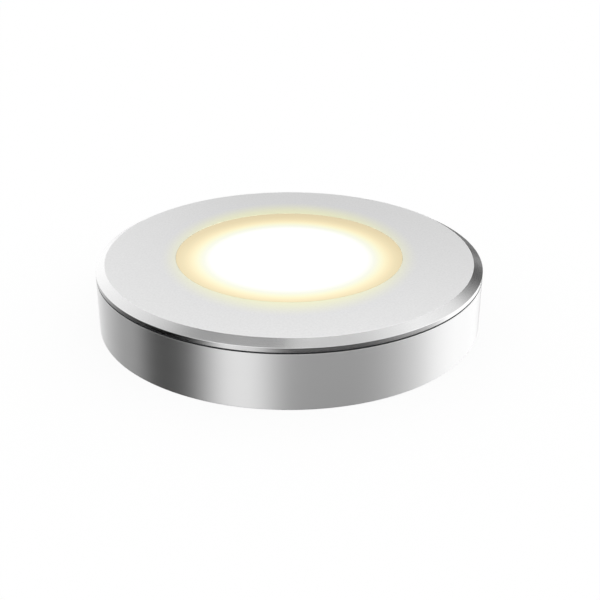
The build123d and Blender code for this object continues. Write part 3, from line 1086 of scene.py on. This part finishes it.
@dataclass
class Casing:
    """The turned cup that holds everything."""

    radius: float = 34.0
    # The wall is 0.05 mm lower than in the solids, so that the seam shows as dark as it is.
    height: float = 9.65
    wall: float = 1.6
    ledge_width: float = 2.0
    ledge_height: float = 5.4
    floor_top: float = 1.9
    back_relief: float = 0.4
    foot_width: float = 4.5
    edge_round: float = 0.15
    seam_round: float = 0.05
    floor_round: float = 0.8
    # The ring's groove: its lowest and highest point and its depth.
    groove: tuple[float, float, float] = (7.25, 8.35, 0.3)
    fixing_spacing: float = 38.0
    hole_radius: float = 1.8
    hole_sides: int = 64
    sink_radius: float = 3.3
    boss_radius: float = 4.8
    boss_height: float = 0.7
    key_width: float = 2.4
    key_height: float = 1.2
    key_root: float = 0.4
    notch_radius: float = 2.3
    trough_start: float = 25.0

    @property
    def bore(self) -> float:
        """The radius of the wall's inner side."""
        return self.radius - self.wall

    def profile(self) -> list[Point]:
        """The wall, the floor and the ring's groove, as the lathe cuts them.

        Returns:
            The section's points.
        """
        bore, ledge = self.bore, self.bore - self.ledge_width
        foot = self.radius - self.foot_width
        groove_low, groove_high, groove_depth = self.groove
        corners = [
            (0.0, self.back_relief),
            (foot, self.back_relief),
            (foot, 0.0),
            (self.radius, 0.0),
            (self.radius, self.height),
            (bore, self.height),
            (bore, groove_high),
            (bore + groove_depth, groove_high),
            (bore + groove_depth, groove_low),
            (bore, groove_low),
            (bore, self.ledge_height),
            (ledge, self.ledge_height),
            (ledge, self.floor_top),
            (0.0, self.floor_top),
        ]
        soft = dict.fromkeys((1, 2, 3, 5), self.edge_round)
        return rounded(corners, soft | {4: self.seam_round, 12: self.floor_round})

    def fixing(self, piece: bpy.types.Object) -> None:
        """Adds the two bosses and their countersunk holes.

        Args:
            piece: The casing.
        """
        top = self.floor_top + self.boss_height
        half = self.fixing_spacing / 2
        slack = self.edge_round
        boss = [(0.0, self.back_relief + slack), (self.boss_radius, self.back_relief + slack),
                (self.boss_radius, top), (0.0, top)]
        sink_depth = self.sink_radius - self.hole_radius
        hole = [(0.0, -slack), (self.hole_radius, -slack), (self.hole_radius, top - sink_depth),
                (self.sink_radius, top), (self.sink_radius, top + slack), (0.0, top + slack)]
        for profile, how in ((boss, Boolean.JOIN), (hole, Boolean.CUT)):
            for side in (-1, 1):
                tool = turned("fixing_tool", profile, CASING_METAL, self.hole_sides)
                move_out(tool, side * half)
                work_on(piece, tool, how)

    def keys(self, piece: bpy.types.Object) -> None:
        """Adds the two keys on the ledge that stop the cover from turning.

        Args:
            piece: The casing.
        """
        inner = self.bore - self.ledge_width + self.key_root
        outer = self.bore + self.key_root
        outline = rectangle(outer - inner, self.key_width, ((inner + outer) / 2, 0.0))
        low, high = self.ledge_height - self.edge_round, self.ledge_height + self.key_height
        rings = [(outline, low), (outline, high)]
        work_round(piece, rings, CASING_METAL, Boolean.JOIN, OPPOSITE)

    def inlet(self, piece: bpy.types.Object) -> None:
        """Cuts the notch in the wall and the trough in the floor for the lead.

        Args:
            piece: The casing.
        """
        outline = arch(self.notch_radius, self.notch_radius, -self.edge_round)
        past_wall = self.radius + self.wall
        tool = lofted(
            "inlet_tool", [(outline, self.trough_start), (outline, past_wall)],
            CASING_METAL, Along.BACK,
        )
        work_on(piece, tool, Boolean.CUT)

    def finish_at(self, centre: Vector, normal: Vector) -> Finish:
        """The outer wall is polished; all else is as it was turned, darkened with painted shade.
        """
        outside = math.hypot(centre.x, centre.y) > self.radius - self.edge_round
        return CASING_METAL if outside and abs(normal.z) < UPRIGHT else INNER_METAL_PAINTED_SHADE

    def build(self) -> bpy.types.Object:
        """Builds the casing.

        Returns:
            The finished piece.
        """
        piece = turned("casing_shell", self.profile(), CASING_METAL)
        self.fixing(piece)
        self.keys(piece)
        self.inlet(piece)
        finish_faces(piece, (INNER_METAL_PAINTED_SHADE, CASING_METAL), self.finish_at)
        return seat(piece, "casing_aluminium", "casing")


@dataclass
class CableInlet:
    """The rubber grommet in the casing's notch."""

    radius: float = 2.2
    centre_height: float = 2.3
    base: float = 0.1
    lip: float = 0.9
    lip_base: float = 2.7
    lip_top: float = 5.5
    lip_round: float = 0.45
    lip_start: float = 28.8
    lip_end: float = 30.1
    end: float = 33.6
    bore: float = 1.5
    bore_sides: int = 48
    edge: float = 0.15
    flare: float = 0.25
    overlap: float = 0.2

    def build(self) -> bpy.types.Object:
        """Builds the plug with its lip and flared bore.

        Returns:
            The finished piece.
        """
        plug = arch(self.radius, self.centre_height, self.base)
        rings = softened(plug, self.lip_start + self.overlap, self.end, self.edge)
        piece = lofted("cable_inlet_grommet", rings, GROMMET_RUBBER, Along.BACK)
        lip = rounded(
            rectangle((self.radius + self.lip) * 2, self.lip_top - self.lip_base,
                      (0.0, (self.lip_top + self.lip_base) / 2)),
            dict.fromkeys(range(4), self.lip_round), support=0, closed=True,
        )
        work_on(piece, lofted(
            "lip_tool", softened(lip, self.lip_start, self.lip_end, self.edge),
            GROMMET_RUBBER, Along.BACK,
        ), Boolean.JOIN)
        low, high = self.lip_start, self.end
        bore, wide, past = self.bore, self.bore + self.flare, self.overlap
        flared = [(0.0, low - past), (wide, low - past), (wide, low), (bore, low + self.flare),
                  (bore, high - self.flare), (wide, high), (wide, high + past),
                  (0.0, high + past)]
        tool = turned("bore_tool", flared, GROMMET_RUBBER, self.bore_sides)
        lay_down = Matrix.Rotation(math.radians(-90), 4, "X")
        raise_up = Matrix.Translation((0, 0, self.centre_height * MM))
        tool.data.transform(raise_up @ lay_down)
        work_on(piece, tool, Boolean.CUT)
        return seat(piece, "grommet_rubber", "cable_grommet")


@dataclass
class FrontCover:
    """The cover: satin face, bright bevel and rim, and the skirt inside the casing."""

    radius: float = 34.0
    # The window's hole is 0.15 mm smaller than in the solids, to look as wide as it does.
    window_radius: float = 20.05
    face_height: float = 11.6
    bevel_width: float = 1.6
    bevel_height: float = 0.9
    rim_base: float = 9.9
    seal_top: float = 10.5
    recess_radius: float = 22.3
    skirt_radius: float = 32.25
    skirt_bore: float = 30.9
    skirt_base: float = 5.4
    # The ring's groove: its lowest and highest point and its inner radius.
    groove: tuple[float, float, float] = (7.25, 8.35, 31.6)
    edge_round: float = 0.06
    edge_support: float = 0.03
    window_edge_round: float = 0.03
    skirt_round: float = 0.15
    corner_round: float = 0.5
    post_circle: float = 27.8
    post_radius: float = 2.2
    post_sides: int = 48
    post_base: float = 4.6
    pilot_radius: float = 1.0
    pilot_top: float = 8.45
    post_count: int = 3
    post_angle: float = 30.0
    slot_width: float = 2.8
    slot_top: float = 6.8

    def profile(self) -> list[Point]:
        """The cover's section, from the window's edge round and back to it.

        Returns:
            The section's points.
        """
        groove_low, groove_high, groove_radius = self.groove
        corners = [
            (self.window_radius, self.seal_top),
            (self.window_radius, self.face_height),
            (self.radius - self.bevel_width, self.face_height),
            (self.radius, self.face_height - self.bevel_height),
            (self.radius, self.rim_base),
            (self.skirt_radius, self.rim_base),
            (self.skirt_radius, groove_high),
            (groove_radius, groove_high),
            (groove_radius, groove_low),
            (self.skirt_radius, groove_low),
            (self.skirt_radius, self.skirt_base),
            (self.skirt_bore, self.skirt_base),
            (self.skirt_bore, self.rim_base),
            (self.recess_radius, self.rim_base),
            (self.recess_radius, self.seal_top),
        ]
        soft = dict.fromkeys((2, 3, 4), self.edge_round)
        soft |= {1: self.window_edge_round, 10: self.skirt_round, 12: self.corner_round}
        points = rounded(corners, soft, steps=4, support=self.edge_support, closed=True)
        return points + points[:1]

    def posts(self, piece: bpy.types.Object) -> None:
        """Adds the drilled posts under the face.

        Args:
            piece: The cover.
        """
        into_plate = self.rim_base + self.corner_round
        post = [(0.0, self.pilot_top), (self.pilot_radius, self.pilot_top),
                (self.pilot_radius, self.post_base), (self.post_radius, self.post_base),
                (self.post_radius, into_plate), (0.0, into_plate)]
        tool = turned("post_tool", post, RIM_METAL, self.post_sides)
        move_out(tool, self.post_circle)
        step = FULL_TURN / self.post_count
        circled(tool, self.post_count, self.post_angle, step, RIM_METAL)
        work_on(piece, tool, Boolean.JOIN)

    def slots(self, piece: bpy.types.Object) -> None:
        """Cuts the slots in the skirt for the casing's keys.

        Args:
            piece: The cover.
        """
        middle = (self.skirt_radius + self.skirt_bore) / 2
        width = (self.skirt_radius - self.skirt_bore) * 2
        outline = rectangle(width, self.slot_width, (middle, 0.0))
        rings = [(outline, self.skirt_base - self.skirt_round), (outline, self.slot_top)]
        work_round(piece, rings, RIM_METAL, Boolean.CUT, OPPOSITE)

    def finish_at(self, centre: Vector, normal: Vector) -> Finish:
        """Picks the finish of face, bevel, rim or inside.

        Args:
            centre: The centre of a piece of the surface, in millimetres.
            normal: The way that it looks.

        Returns:
            Its finish.
        """
        reach = math.hypot(centre.x, centre.y)
        # The window's edge, the undersides and the inside get the metal darkened with painted
        # shade.
        if reach < self.window_radius or normal.z < DOWNWARDS:
            return INNER_METAL_PAINTED_SHADE
        if centre.z > self.face_height - self.bevel_height:
            return BEVEL_METAL if reach > self.radius - self.bevel_width else FACE_METAL
        return RIM_METAL if reach > self.skirt_radius else INNER_METAL_PAINTED_SHADE

    def build(self) -> bpy.types.Object:
        """Builds the cover.

        Returns:
            The finished piece.
        """
        piece = turned("front_cover_shell", self.profile(), FACE_METAL)
        self.posts(piece)
        self.slots(piece)
        finish_faces(
            piece, (FACE_METAL, BEVEL_METAL, RIM_METAL, INNER_METAL_PAINTED_SHADE), self.finish_at
        )
        return seat(piece, "cover_aluminium", "front_cover")


@dataclass
class Window:
    """The opal lens, flush in the cover, with its flange beneath."""

    # A hair smaller than its hole in the cover.
    radius: float = 20.03
    height: float = 11.6
    thickness: float = 1.2
    wall: float = 1.8
    flange_radius: float = 22.1
    flange_low: float = 9.4
    flange_high: float = 10.2
    edge_round: float = 0.08
    edge_support: float = 0.03
    face_round: float = 0.02

    def build(self) -> bpy.types.Object:
        """Builds the lens and dresses its seal.

        Returns:
            The finished lens.
        """
        cavity = self.radius - self.wall
        under = self.height - self.thickness
        corners = [
            (0.0, self.height),
            (self.radius, self.height),
            (self.radius, self.flange_high),
            (self.flange_radius, self.flange_high),
            (self.flange_radius, self.flange_low),
            (cavity, self.flange_low),
            (cavity, under),
            (0.0, under),
        ]
        soft = dict.fromkeys((3, 4, 6), self.edge_round)
        soft |= {1: self.face_round}
        profile = rounded(corners, soft, steps=4, support=self.edge_support)
        piece = turned("window_lens_shell", profile, WINDOW_ACRYLIC)
        dress("lens_seal", SEAL_SILICONE)
        return seat(piece, "window_opal", "window_lens")


@dataclass
class ReflectorCup:
    """The white cup between the board and the lens, with its gussets and pegs."""

    base: float = 5.9
    top: float = 9.4
    sides: int = 144
    base_radius: float = 15.05
    foot_radius: float = 17.45
    foot_top: float = 6.5
    flange_base: float = 8.8
    flange_radius: float = 22.1
    rim_radius: float = 18.35
    wall_width: float = 1.375
    gusset_count: int = 12
    gusset_thickness: float = 0.8
    gusset_setback: float = 0.5
    peg_radius: float = 0.6
    peg_sides: int = 24
    peg_end: float = 5.2
    edge_round: float = 0.12

    def cone(self, height: float) -> float:
        """The cone's inner radius at a height."""
        share = (height - self.base) / (self.top - self.base)
        return self.base_radius + (self.rim_radius - self.base_radius) * share

    def build(self) -> bpy.types.Object:
        """Builds the cup.

        Returns:
            The finished piece.
        """
        wall_foot = self.cone(self.foot_top) + self.wall_width
        wall_head = self.cone(self.flange_base) + self.wall_width
        corners = [
            (self.base_radius, self.base),
            (self.foot_radius, self.base),
            (self.foot_radius, self.foot_top),
            (wall_foot, self.foot_top),
            (wall_head, self.flange_base),
            (self.flange_radius, self.flange_base),
            (self.flange_radius, self.top),
            (self.rim_radius, self.top),
        ]
        soft = dict.fromkeys((2, 3, 4, 5, 6), self.edge_round)
        profile = rounded(corners, soft, steps=3, support=0, closed=True)
        profile += profile[:1]
        piece = turned("reflector_cup_shell", profile, CUP_PLASTIC, self.sides)
        work_on(piece, self.gussets(), Boolean.JOIN)
        work_on(piece, self.pegs(), Boolean.JOIN)
        return seat(piece, "cup_white", "reflector_cup")

    def gussets(self) -> bpy.types.Object:
        """Makes the thin webs between the cone, the foot and the flange.

        Returns:
            All of them, as one tool.
        """
        sink = self.edge_round
        inside = self.wall_width / 2
        outline = [
            (self.foot_radius - sink, self.foot_top - sink),
            (self.foot_radius, self.foot_top),
            (self.flange_radius - self.gusset_setback, self.flange_base),
            (self.flange_radius - self.gusset_setback - sink, self.flange_base + sink),
            (self.cone(self.flange_base) + inside, self.flange_base + sink),
            (self.cone(self.foot_top) + inside, self.foot_top - sink),
        ]
        half = self.gusset_thickness / 2
        web = lofted(
            "gusset_tool", [(outline, -half), (outline, half)], CUP_PLASTIC, Along.BACK
        )
        step = FULL_TURN / self.gusset_count
        return circled(web, self.gusset_count, 0.0, step, CUP_PLASTIC)

    def pegs(self) -> bpy.types.Object:
        """Makes the pegs that locate the cup in the board.

        Returns:
            All of them, as one tool.
        """
        cover = FrontCover()
        into_cup = self.base + self.edge_round
        profile = rounded(
            [(0.0, self.peg_end), (self.peg_radius, self.peg_end),
             (self.peg_radius, into_cup), (0.0, into_cup)],
            {1: self.edge_round}, steps=3, support=0,
        )
        peg = turned("peg_tool", profile, CUP_PLASTIC, self.peg_sides)
        move_out(peg, (self.base_radius + self.foot_radius) / 2)
        step = FULL_TURN / cover.post_count
        return circled(peg, cover.post_count, cover.post_angle, step, CUP_PLASTIC)


@dataclass
class LitBoard:
    """The round board with its light packages and the parts round them."""

    top: float = 5.9
    # The radius and the count of each row of packages.
    rows: tuple[tuple[float, int], ...] = ((11.5, 12), (5.0, 6))
    package_length: float = 3.5
    package_width: float = 2.8
    package_height: float = 0.7
    package_corner: float = 0.5
    well_margin: float = 0.45
    well_depth: float = 0.35
    well_clearance: float = 0.02
    edge: float = 0.06
    part_circle: float = 24.75
    resistor_length: float = 3.2
    resistor_width: float = 1.6
    resistor_height: float = 0.55
    resistor_step: float = 15.05
    resistors_a_side: int = 3
    resistor_groups: tuple[float, ...] = (225.0, 315.0)
    cap_length: float = 0.5

    def package_outline(self, margin: float, corner: float) -> list[Point]:
        """A package's outline, or its well's, with the corner cut that marks the cathode.

        Args:
            margin: How far it lies inside the package's sides.
            corner: The size of the cut.

        Returns:
            The outline's points.
        """
        x = self.package_length / 2 - margin
        y = self.package_width / 2 - margin
        corners = [(-x, -y), (x, -y), (x, y - corner), (x - corner, y), (-x, y)]
        soft = dict.fromkeys(range(len(corners)), self.edge)
        return rounded(corners, soft, steps=2, support=0, closed=True)

    def in_rows(
        self, name: str, rings: list[tuple[list[Point], float]], finish: Finish
    ) -> bpy.types.Object:
        """Repeats one small piece in the rows of packages.

        Args:
            name: The name of the whole piece.
            rings: The small piece's rings round the axis.
            finish: Its finish.

        Returns:
            The piece that holds all of them.
        """
        rows = []
        for number, (radius, count) in enumerate(self.rows):
            placed = [(shifted(outline, radius, 0.0), level) for outline, level in rings]
            row = lofted(f"{name}_{number}", placed, finish)
            rows.append(circled(row, count, 0.0, FULL_TURN / count, finish))
        return merged(name, rows, finish)

    def packages(self) -> None:
        """Builds the moulded packages, each with its well, and their phosphor."""
        high = self.top + self.package_height
        floor = high - self.well_depth
        body = self.package_outline(0.0, self.package_corner)
        well = self.package_outline(self.well_margin, self.edge * 2)
        rings = [
            (body, self.top),
            (body, high - self.edge),
            (inset(body, self.edge), high),
            (well, high),
            (well, high - self.well_clearance),
            (well, floor),
        ]
        seat(self.in_rows("light_packages", rings, PACKAGE_PLASTIC), "package_white",
             "led_packages")
        fill = inset(well, self.well_clearance)
        rings = [
            (fill, floor),
            (fill, high - self.edge / 2),
            (inset(fill, self.edge), high - self.edge),
        ]
        seat(self.in_rows("phosphor_fillings", rings, PHOSPHOR), "phosphor_yellow",
             "led_phosphors")

    def resistors(self) -> None:
        """Builds the resistors: a ceramic body with tinned caps at both ends."""
        high = self.top + self.resistor_height
        body = rectangle(
            self.resistor_width - self.edge, self.resistor_length - self.cap_length,
            (self.part_circle, 0.0),
        )
        reach = (self.resistor_length - self.cap_length) / 2
        caps = [
            rectangle(self.resistor_width, self.cap_length, (self.part_circle, side * reach))
            for side in (-1, 1)
        ]
        low = self.top + self.edge
        self.in_groups("resistor_bodies", [body], (low, high - self.edge / 2),
                       RESISTOR_CERAMIC, "resistor_black")
        self.in_groups("resistor_caps", caps, (self.top, high), TIN_PLATE, "leg_tin")

    def in_groups(
        self, name: str, outlines: list[list[Point]], heights: Point, finish: Finish, slot: str
    ) -> None:
        """Repeats the blocks of one resistor in both groups of resistors.

        Args:
            name: The name of the whole piece.
            outlines: The blocks' outlines, for a resistor at an angle of 0.
            heights: The blocks' base and top.
            finish: Their finish.
            slot: The record's material slot.
        """
        back = self.resistor_step * (self.resistors_a_side - 1) / 2
        parts = []
        for middle in self.resistor_groups:
            for outline in outlines:
                block = lofted(f"{name}_block", softened(outline, *heights, self.edge), finish)
                parts.append(circled(
                    block, self.resistors_a_side, middle - back, self.resistor_step, finish
                ))
        seat(merged(name, parts, finish), slot, "chip_resistors")

    def build(self) -> None:
        """Builds what repeats and dresses the board and its other parts."""
        self.packages()
        self.resistors()
        for node, finish in (
            ("led_board", BOARD_MASK),
            ("chip_capacitors", CAPACITOR_CERAMIC),
            ("bridge_rectifier", CHIP_EPOXY),
            ("rectifier_legs", TIN_PLATE),
            ("driver_chip", CHIP_EPOXY),
            ("driver_legs", TIN_PLATE),
            ("lead_connector", CONNECTOR_PLASTIC),
            ("connector_contacts", TIN_PLATE),
            ("thermal_pad", PAD_SILICONE),
            ("heat_spreader", SPREADER_METAL),
        ):
            dress(node, finish)


@dataclass
class Fasteners:
    """The three screws of the light head and the spring ring that holds the cover."""

    seat_height: float = 3.4
    head_radius: float = 1.9
    head_height: float = 1.2
    head_round: float = 0.4
    shank_radius: float = 0.95
    core_radius: float = 0.72
    screw_sides: int = 32
    length: float = 5.0
    thread_start: float = 1.3
    pitch: float = 0.6
    recess_width: float = 0.5
    recess_length: float = 2.2
    recess_depth: float = 0.6
    recess_draft: float = 0.1
    ring_radius: float = 32.15
    ring_height: float = 7.8
    ring_wire: float = 0.45
    ring_opening: float = 24.0
    ring_segments: int = 180
    wire_sides: int = 16

    def screws(self) -> bpy.types.Object:
        """Builds the screws, whose threads are drawn as a groove for each turn.

        Returns:
            The finished piece, which holds all of them.
        """
        low = self.seat_height - self.head_height
        end = self.seat_height + self.length
        head = rounded(
            [(0.0, low), (self.head_radius, low), (self.head_radius, self.seat_height),
             (self.shank_radius, self.seat_height)],
            {1: self.head_round}, steps=4, support=0,
        )
        thread = [(self.shank_radius, self.seat_height + self.thread_start)]
        while thread[-1][1] + self.pitch < end - self.pitch / 2:
            crest = thread[-1][1]
            thread += [(self.core_radius, crest + self.pitch / 2),
                       (self.shank_radius, crest + self.pitch)]
        tip = [(self.core_radius, end), (0.0, end)]
        profile = head + thread + tip
        piece = turned("light_head_screws", profile, SCREW_STEEL, self.screw_sides)
        wide = rectangle(self.recess_length, self.recess_width)
        rings = [(wide, low - self.recess_draft), (wide, low),
                 (inset(wide, self.recess_draft), low + self.recess_depth)]
        work_round(piece, rings, SCREW_STEEL, Boolean.CUT, CROSSED)
        cover = FrontCover()
        move_out(piece, cover.post_circle)
        step = FULL_TURN / cover.post_count
        circled(piece, cover.post_count, cover.post_angle, step, SCREW_STEEL)
        return seat(piece, "screw_steel", "head_screws")

    def ring(self) -> bpy.types.Object:
        """Bends the open ring of spring wire.

        Returns:
            The finished piece.
        """
        piece = new_object("spring_wire_ring", bpy.data.meshes.new("spring_wire_ring"))
        run_tree(
            piece, WIRE, Radius=self.ring_radius * MM, Start=0.0,
            Sweep=FULL_TURN - self.ring_opening, Height=self.ring_height * MM,
            Wire=self.ring_wire * MM, Segments=self.ring_segments, Sides=self.wire_sides,
            Material=RING_STEEL.material(),
        )
        return seat(piece, "ring_steel", "snap_ring")

    def build(self) -> None:
        """Builds screws and ring."""
        self.screws()
        self.ring()


@dataclass(frozen=True)
class Card:
    """A soft-edged card or flag of the studio, as polished metal mirrors it.

    Azimuth runs from the front (0) to the right (90), elevation up from the horizon. Both
    and all widths are in degrees. Brightness is what a perfect mirror would show of it.
    """

    name: str
    azimuth: float
    half_width: float
    edge: float
    elevation: float
    half_height: float
    rise: float
    brightness: float


@dataclass
class Studio:
    """Floor, soft light and camera."""

    # A later card stands in front of an earlier one. Their numbers weren't chosen by hand: they
    # are the rounded results of a scratch program, which fitted the bands on wall, rim, bevel
    # and face to the photograph's by least squares.
    cards: tuple[Card, ...] = (
        Card("soft box over the front", -8.8, 99.5, 15.5, 40.5, 53.0, 3.1, 0.91),
        Card("white wall at the right", 126.1, 28.5, 9.8, -6.9, 70.1, 16.0, 1.24),
        Card("strip low at the front left", -31.4, 7.5, 28.2, -42.6, 51.1, 8.0, 1.67),
        Card("black flag at the left", -68.2, 19.2, 11.1, -28.9, 59.1, 28.6, 0.00),
        Card("white wall at the back left", -151.6, 27.8, 25.7, 17.5, 42.1, 8.6, 1.10),
        Card("card at the back", 155.1, 32.2, 8.7, 38.8, 40.5, 14.1, 1.87),
        Card("card high at the right", 128.7, 17.7, 10.1, 49.5, 28.8, 4.2, 0.81),
        Card("flag at the back right", 146.4, 10.1, 7.0, 19.7, 13.7, 3.7, 0.08),
        Card("flag at the back", 169.7, 20.4, 9.5, 10.6, 18.6, 10.7, 0.06),
        Card("strip at the right", 86.5, 18.7, 32.8, 14.5, 38.9, 3.1, 1.53),
        Card("card at the left", -117.2, 11.7, 17.3, 18.2, 26.9, 19.9, 1.06),
        Card("flag low at the front left", -27.3, 6.2, 12.3, -28.1, 12.6, 3.0, 0.57),
        Card("strip at the front left", -28.1, 9.2, 33.1, 12.4, 26.2, 3.0, 1.60),
    )
    # The floor's side is in metres, and its gap under the foot and the width over which its
    # white starts there are in millimetres.
    floor_size: float = 3.0
    floor_drop: float = 0.02
    foot_edge: float = 1.0
    shadow_share: float = 0.15
    # The camera's place, target and nearest sight are in metres, and its lens in millimetres.
    # A scratch program fitted place, target, lens and shift to the photograph's outlines.
    camera_place: tuple[float, float, float] = (0.0, -0.1679, 0.0824)
    camera_target: tuple[float, float, float] = (0.0, 0.0, 0.00244)
    clip_start: float = 0.01
    lens: float = 61.5
    shift_x: float = 0.018

    def build(self) -> None:
        """Sets up the whole studio."""
        self.build_floor()
        self.build_world()
        self.build_camera()

    def build_floor(self) -> None:
        """Lays a white floor just under the foot, which keeps a faint shadow of the light.

        It shines white to the eye only beyond the foot, so that none of it glows through the
        cable's inlet. The polished wall mirrors the studio's cards and flags in its place.
        """
        mesh = bpy.data.meshes.new("studio_floor")
        corners = rectangle(self.floor_size, self.floor_size)
        level = -self.floor_drop * MM
        mesh.from_pydata([(x, y, level) for x, y in corners], [], [(0, 1, 2, 3)])
        floor = new_object("studio_floor", mesh)
        material = bpy.data.materials.new("white_studio_floor")
        material.use_nodes = True
        tree = material.node_tree
        tree.nodes.clear()
        matt = add_node(tree, "ShaderNodeBsdfDiffuse", {"Color": linear("#FFFFFF")})
        white = add_node(tree, "ShaderNodeEmission", {"Strength": 1.0})
        path = add_node(tree, "ShaderNodeLightPath").outputs
        seen = add_node(
            tree, MATH, {0: path["Is Camera Ray"], 1: path["Is Transmission Ray"]},
            operation="MAXIMUM",
        )
        foot = Casing().radius
        beyond_foot = add_node(
            tree, MAP_RANGE,
            {"Value": axis_distance(tree), "From Min": foot - self.foot_edge, "From Max": foot,
             "To Max": 1 - self.shadow_share},
        )
        share = add_node(tree, MATH, {0: seen, 1: beyond_foot}, operation="MULTIPLY")
        mixed = add_node(tree, "ShaderNodeMixShader", {0: share, 1: matt, 2: white})
        add_node(tree, "ShaderNodeOutputMaterial", {"Surface": mixed})
        mesh.materials.append(material)
        floor.visible_glossy = False

    def build_world(self) -> None:
        """Makes the soft light: white for the eye and for matt surfaces, and the cards and
        flags of the studio for what polished metal mirrors."""
        world = bpy.data.worlds.new("soft_studio")
        bpy.context.scene.world = world
        world.use_nodes = True
        tree = world.node_tree
        tree.nodes.clear()
        way = add_node(tree, "ShaderNodeTexCoord").outputs["Generated"]
        parts = add_node(tree, SEPARATE, {0: way}).outputs
        front = add_node(tree, MATH, {0: parts["Y"], 1: -1.0}, operation="MULTIPLY")
        turn = add_node(tree, MATH, {0: parts["X"], 1: front}, operation="ARCTAN2")
        rise = add_node(tree, MATH, {0: parts["Z"]}, operation="ARCSINE")
        azimuth, elevation = (
            add_node(tree, MATH, {0: angle}, operation="DEGREES") for angle in (turn, rise)
        )
        level: float | bpy.types.Node = 0.0
        for card in self.cards:
            mask = add_node(tree, MATH, {
                0: self.share(tree, azimuth, card.azimuth, card.half_width, card.edge),
                1: self.share(tree, elevation, card.elevation, card.half_height, card.rise),
            }, operation="MULTIPLY")
            level = add_node(tree, MIX, {0: mask, 2: level, 3: card.brightness})
        glossy = add_node(tree, "ShaderNodeLightPath").outputs["Is Glossy Ray"]
        strength = add_node(tree, MIX, {0: glossy, 2: 1.0, 3: level})
        light = add_node(
            tree, "ShaderNodeBackground", {"Color": linear("#FFFFFF"), "Strength": strength}
        )
        add_node(tree, "ShaderNodeOutputWorld", {"Surface": light})
        world.cycles.sampling_method = "NONE"

    def share(
        self, tree: bpy.types.NodeTree, angle: bpy.types.Node,
        centre: float, half: float, edge: float,
    ) -> bpy.types.Node:
        """How much of a card lies at an angle, from 0 to 1.

        Args:
            tree: The world's tree.
            angle: The angle that is looked at, in degrees.
            centre: The card's centre.
            half: Half the card's width.
            edge: Half the width of its soft edge.

        Returns:
            The node that holds the share.
        """
        offset = add_node(tree, MATH, {0: angle, 1: centre}, operation="SUBTRACT")
        wrapped = add_node(
            tree, MATH, {0: offset, 1: HALF_TURN, 2: -HALF_TURN}, operation="WRAP"
        )
        away = add_node(tree, MATH, {0: wrapped}, operation="ABSOLUTE")
        return add_node(
            tree, MAP_RANGE,
            {"Value": away, "From Min": half - edge, "From Max": half + edge,
             "To Min": 1.0, "To Max": 0.0},
            interpolation_type="SMOOTHSTEP",
        )

    def build_camera(self) -> None:
        """Places the camera where the photograph was taken from."""
        camera = bpy.data.cameras.new("studio_camera")
        camera.lens = self.lens
        camera.shift_x = self.shift_x
        camera.clip_start = self.clip_start
        holder = bpy.data.objects.new("studio_camera", camera)
        bpy.context.scene.collection.objects.link(holder)
        place = Vector(self.camera_place)
        way = Vector(self.camera_target) - place
        holder.location = place
        holder.rotation_euler = way.to_track_quat("-Z", "Y").to_euler()
        bpy.context.scene.camera = holder
        bpy.context.scene.view_settings.view_transform = "Standard"


def main() -> None:
    """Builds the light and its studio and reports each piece."""
    logging.basicConfig(level=logging.INFO, format="%(name)s %(message)s")
    for part in (
        Casing(), CableInlet(), FrontCover(), Window(), ReflectorCup(), LitBoard(),
        Fasteners(), Studio(),
    ):
        log.info("building %s", type(part).__name__)
        part.build()


if __name__ == "__main__":
    main()
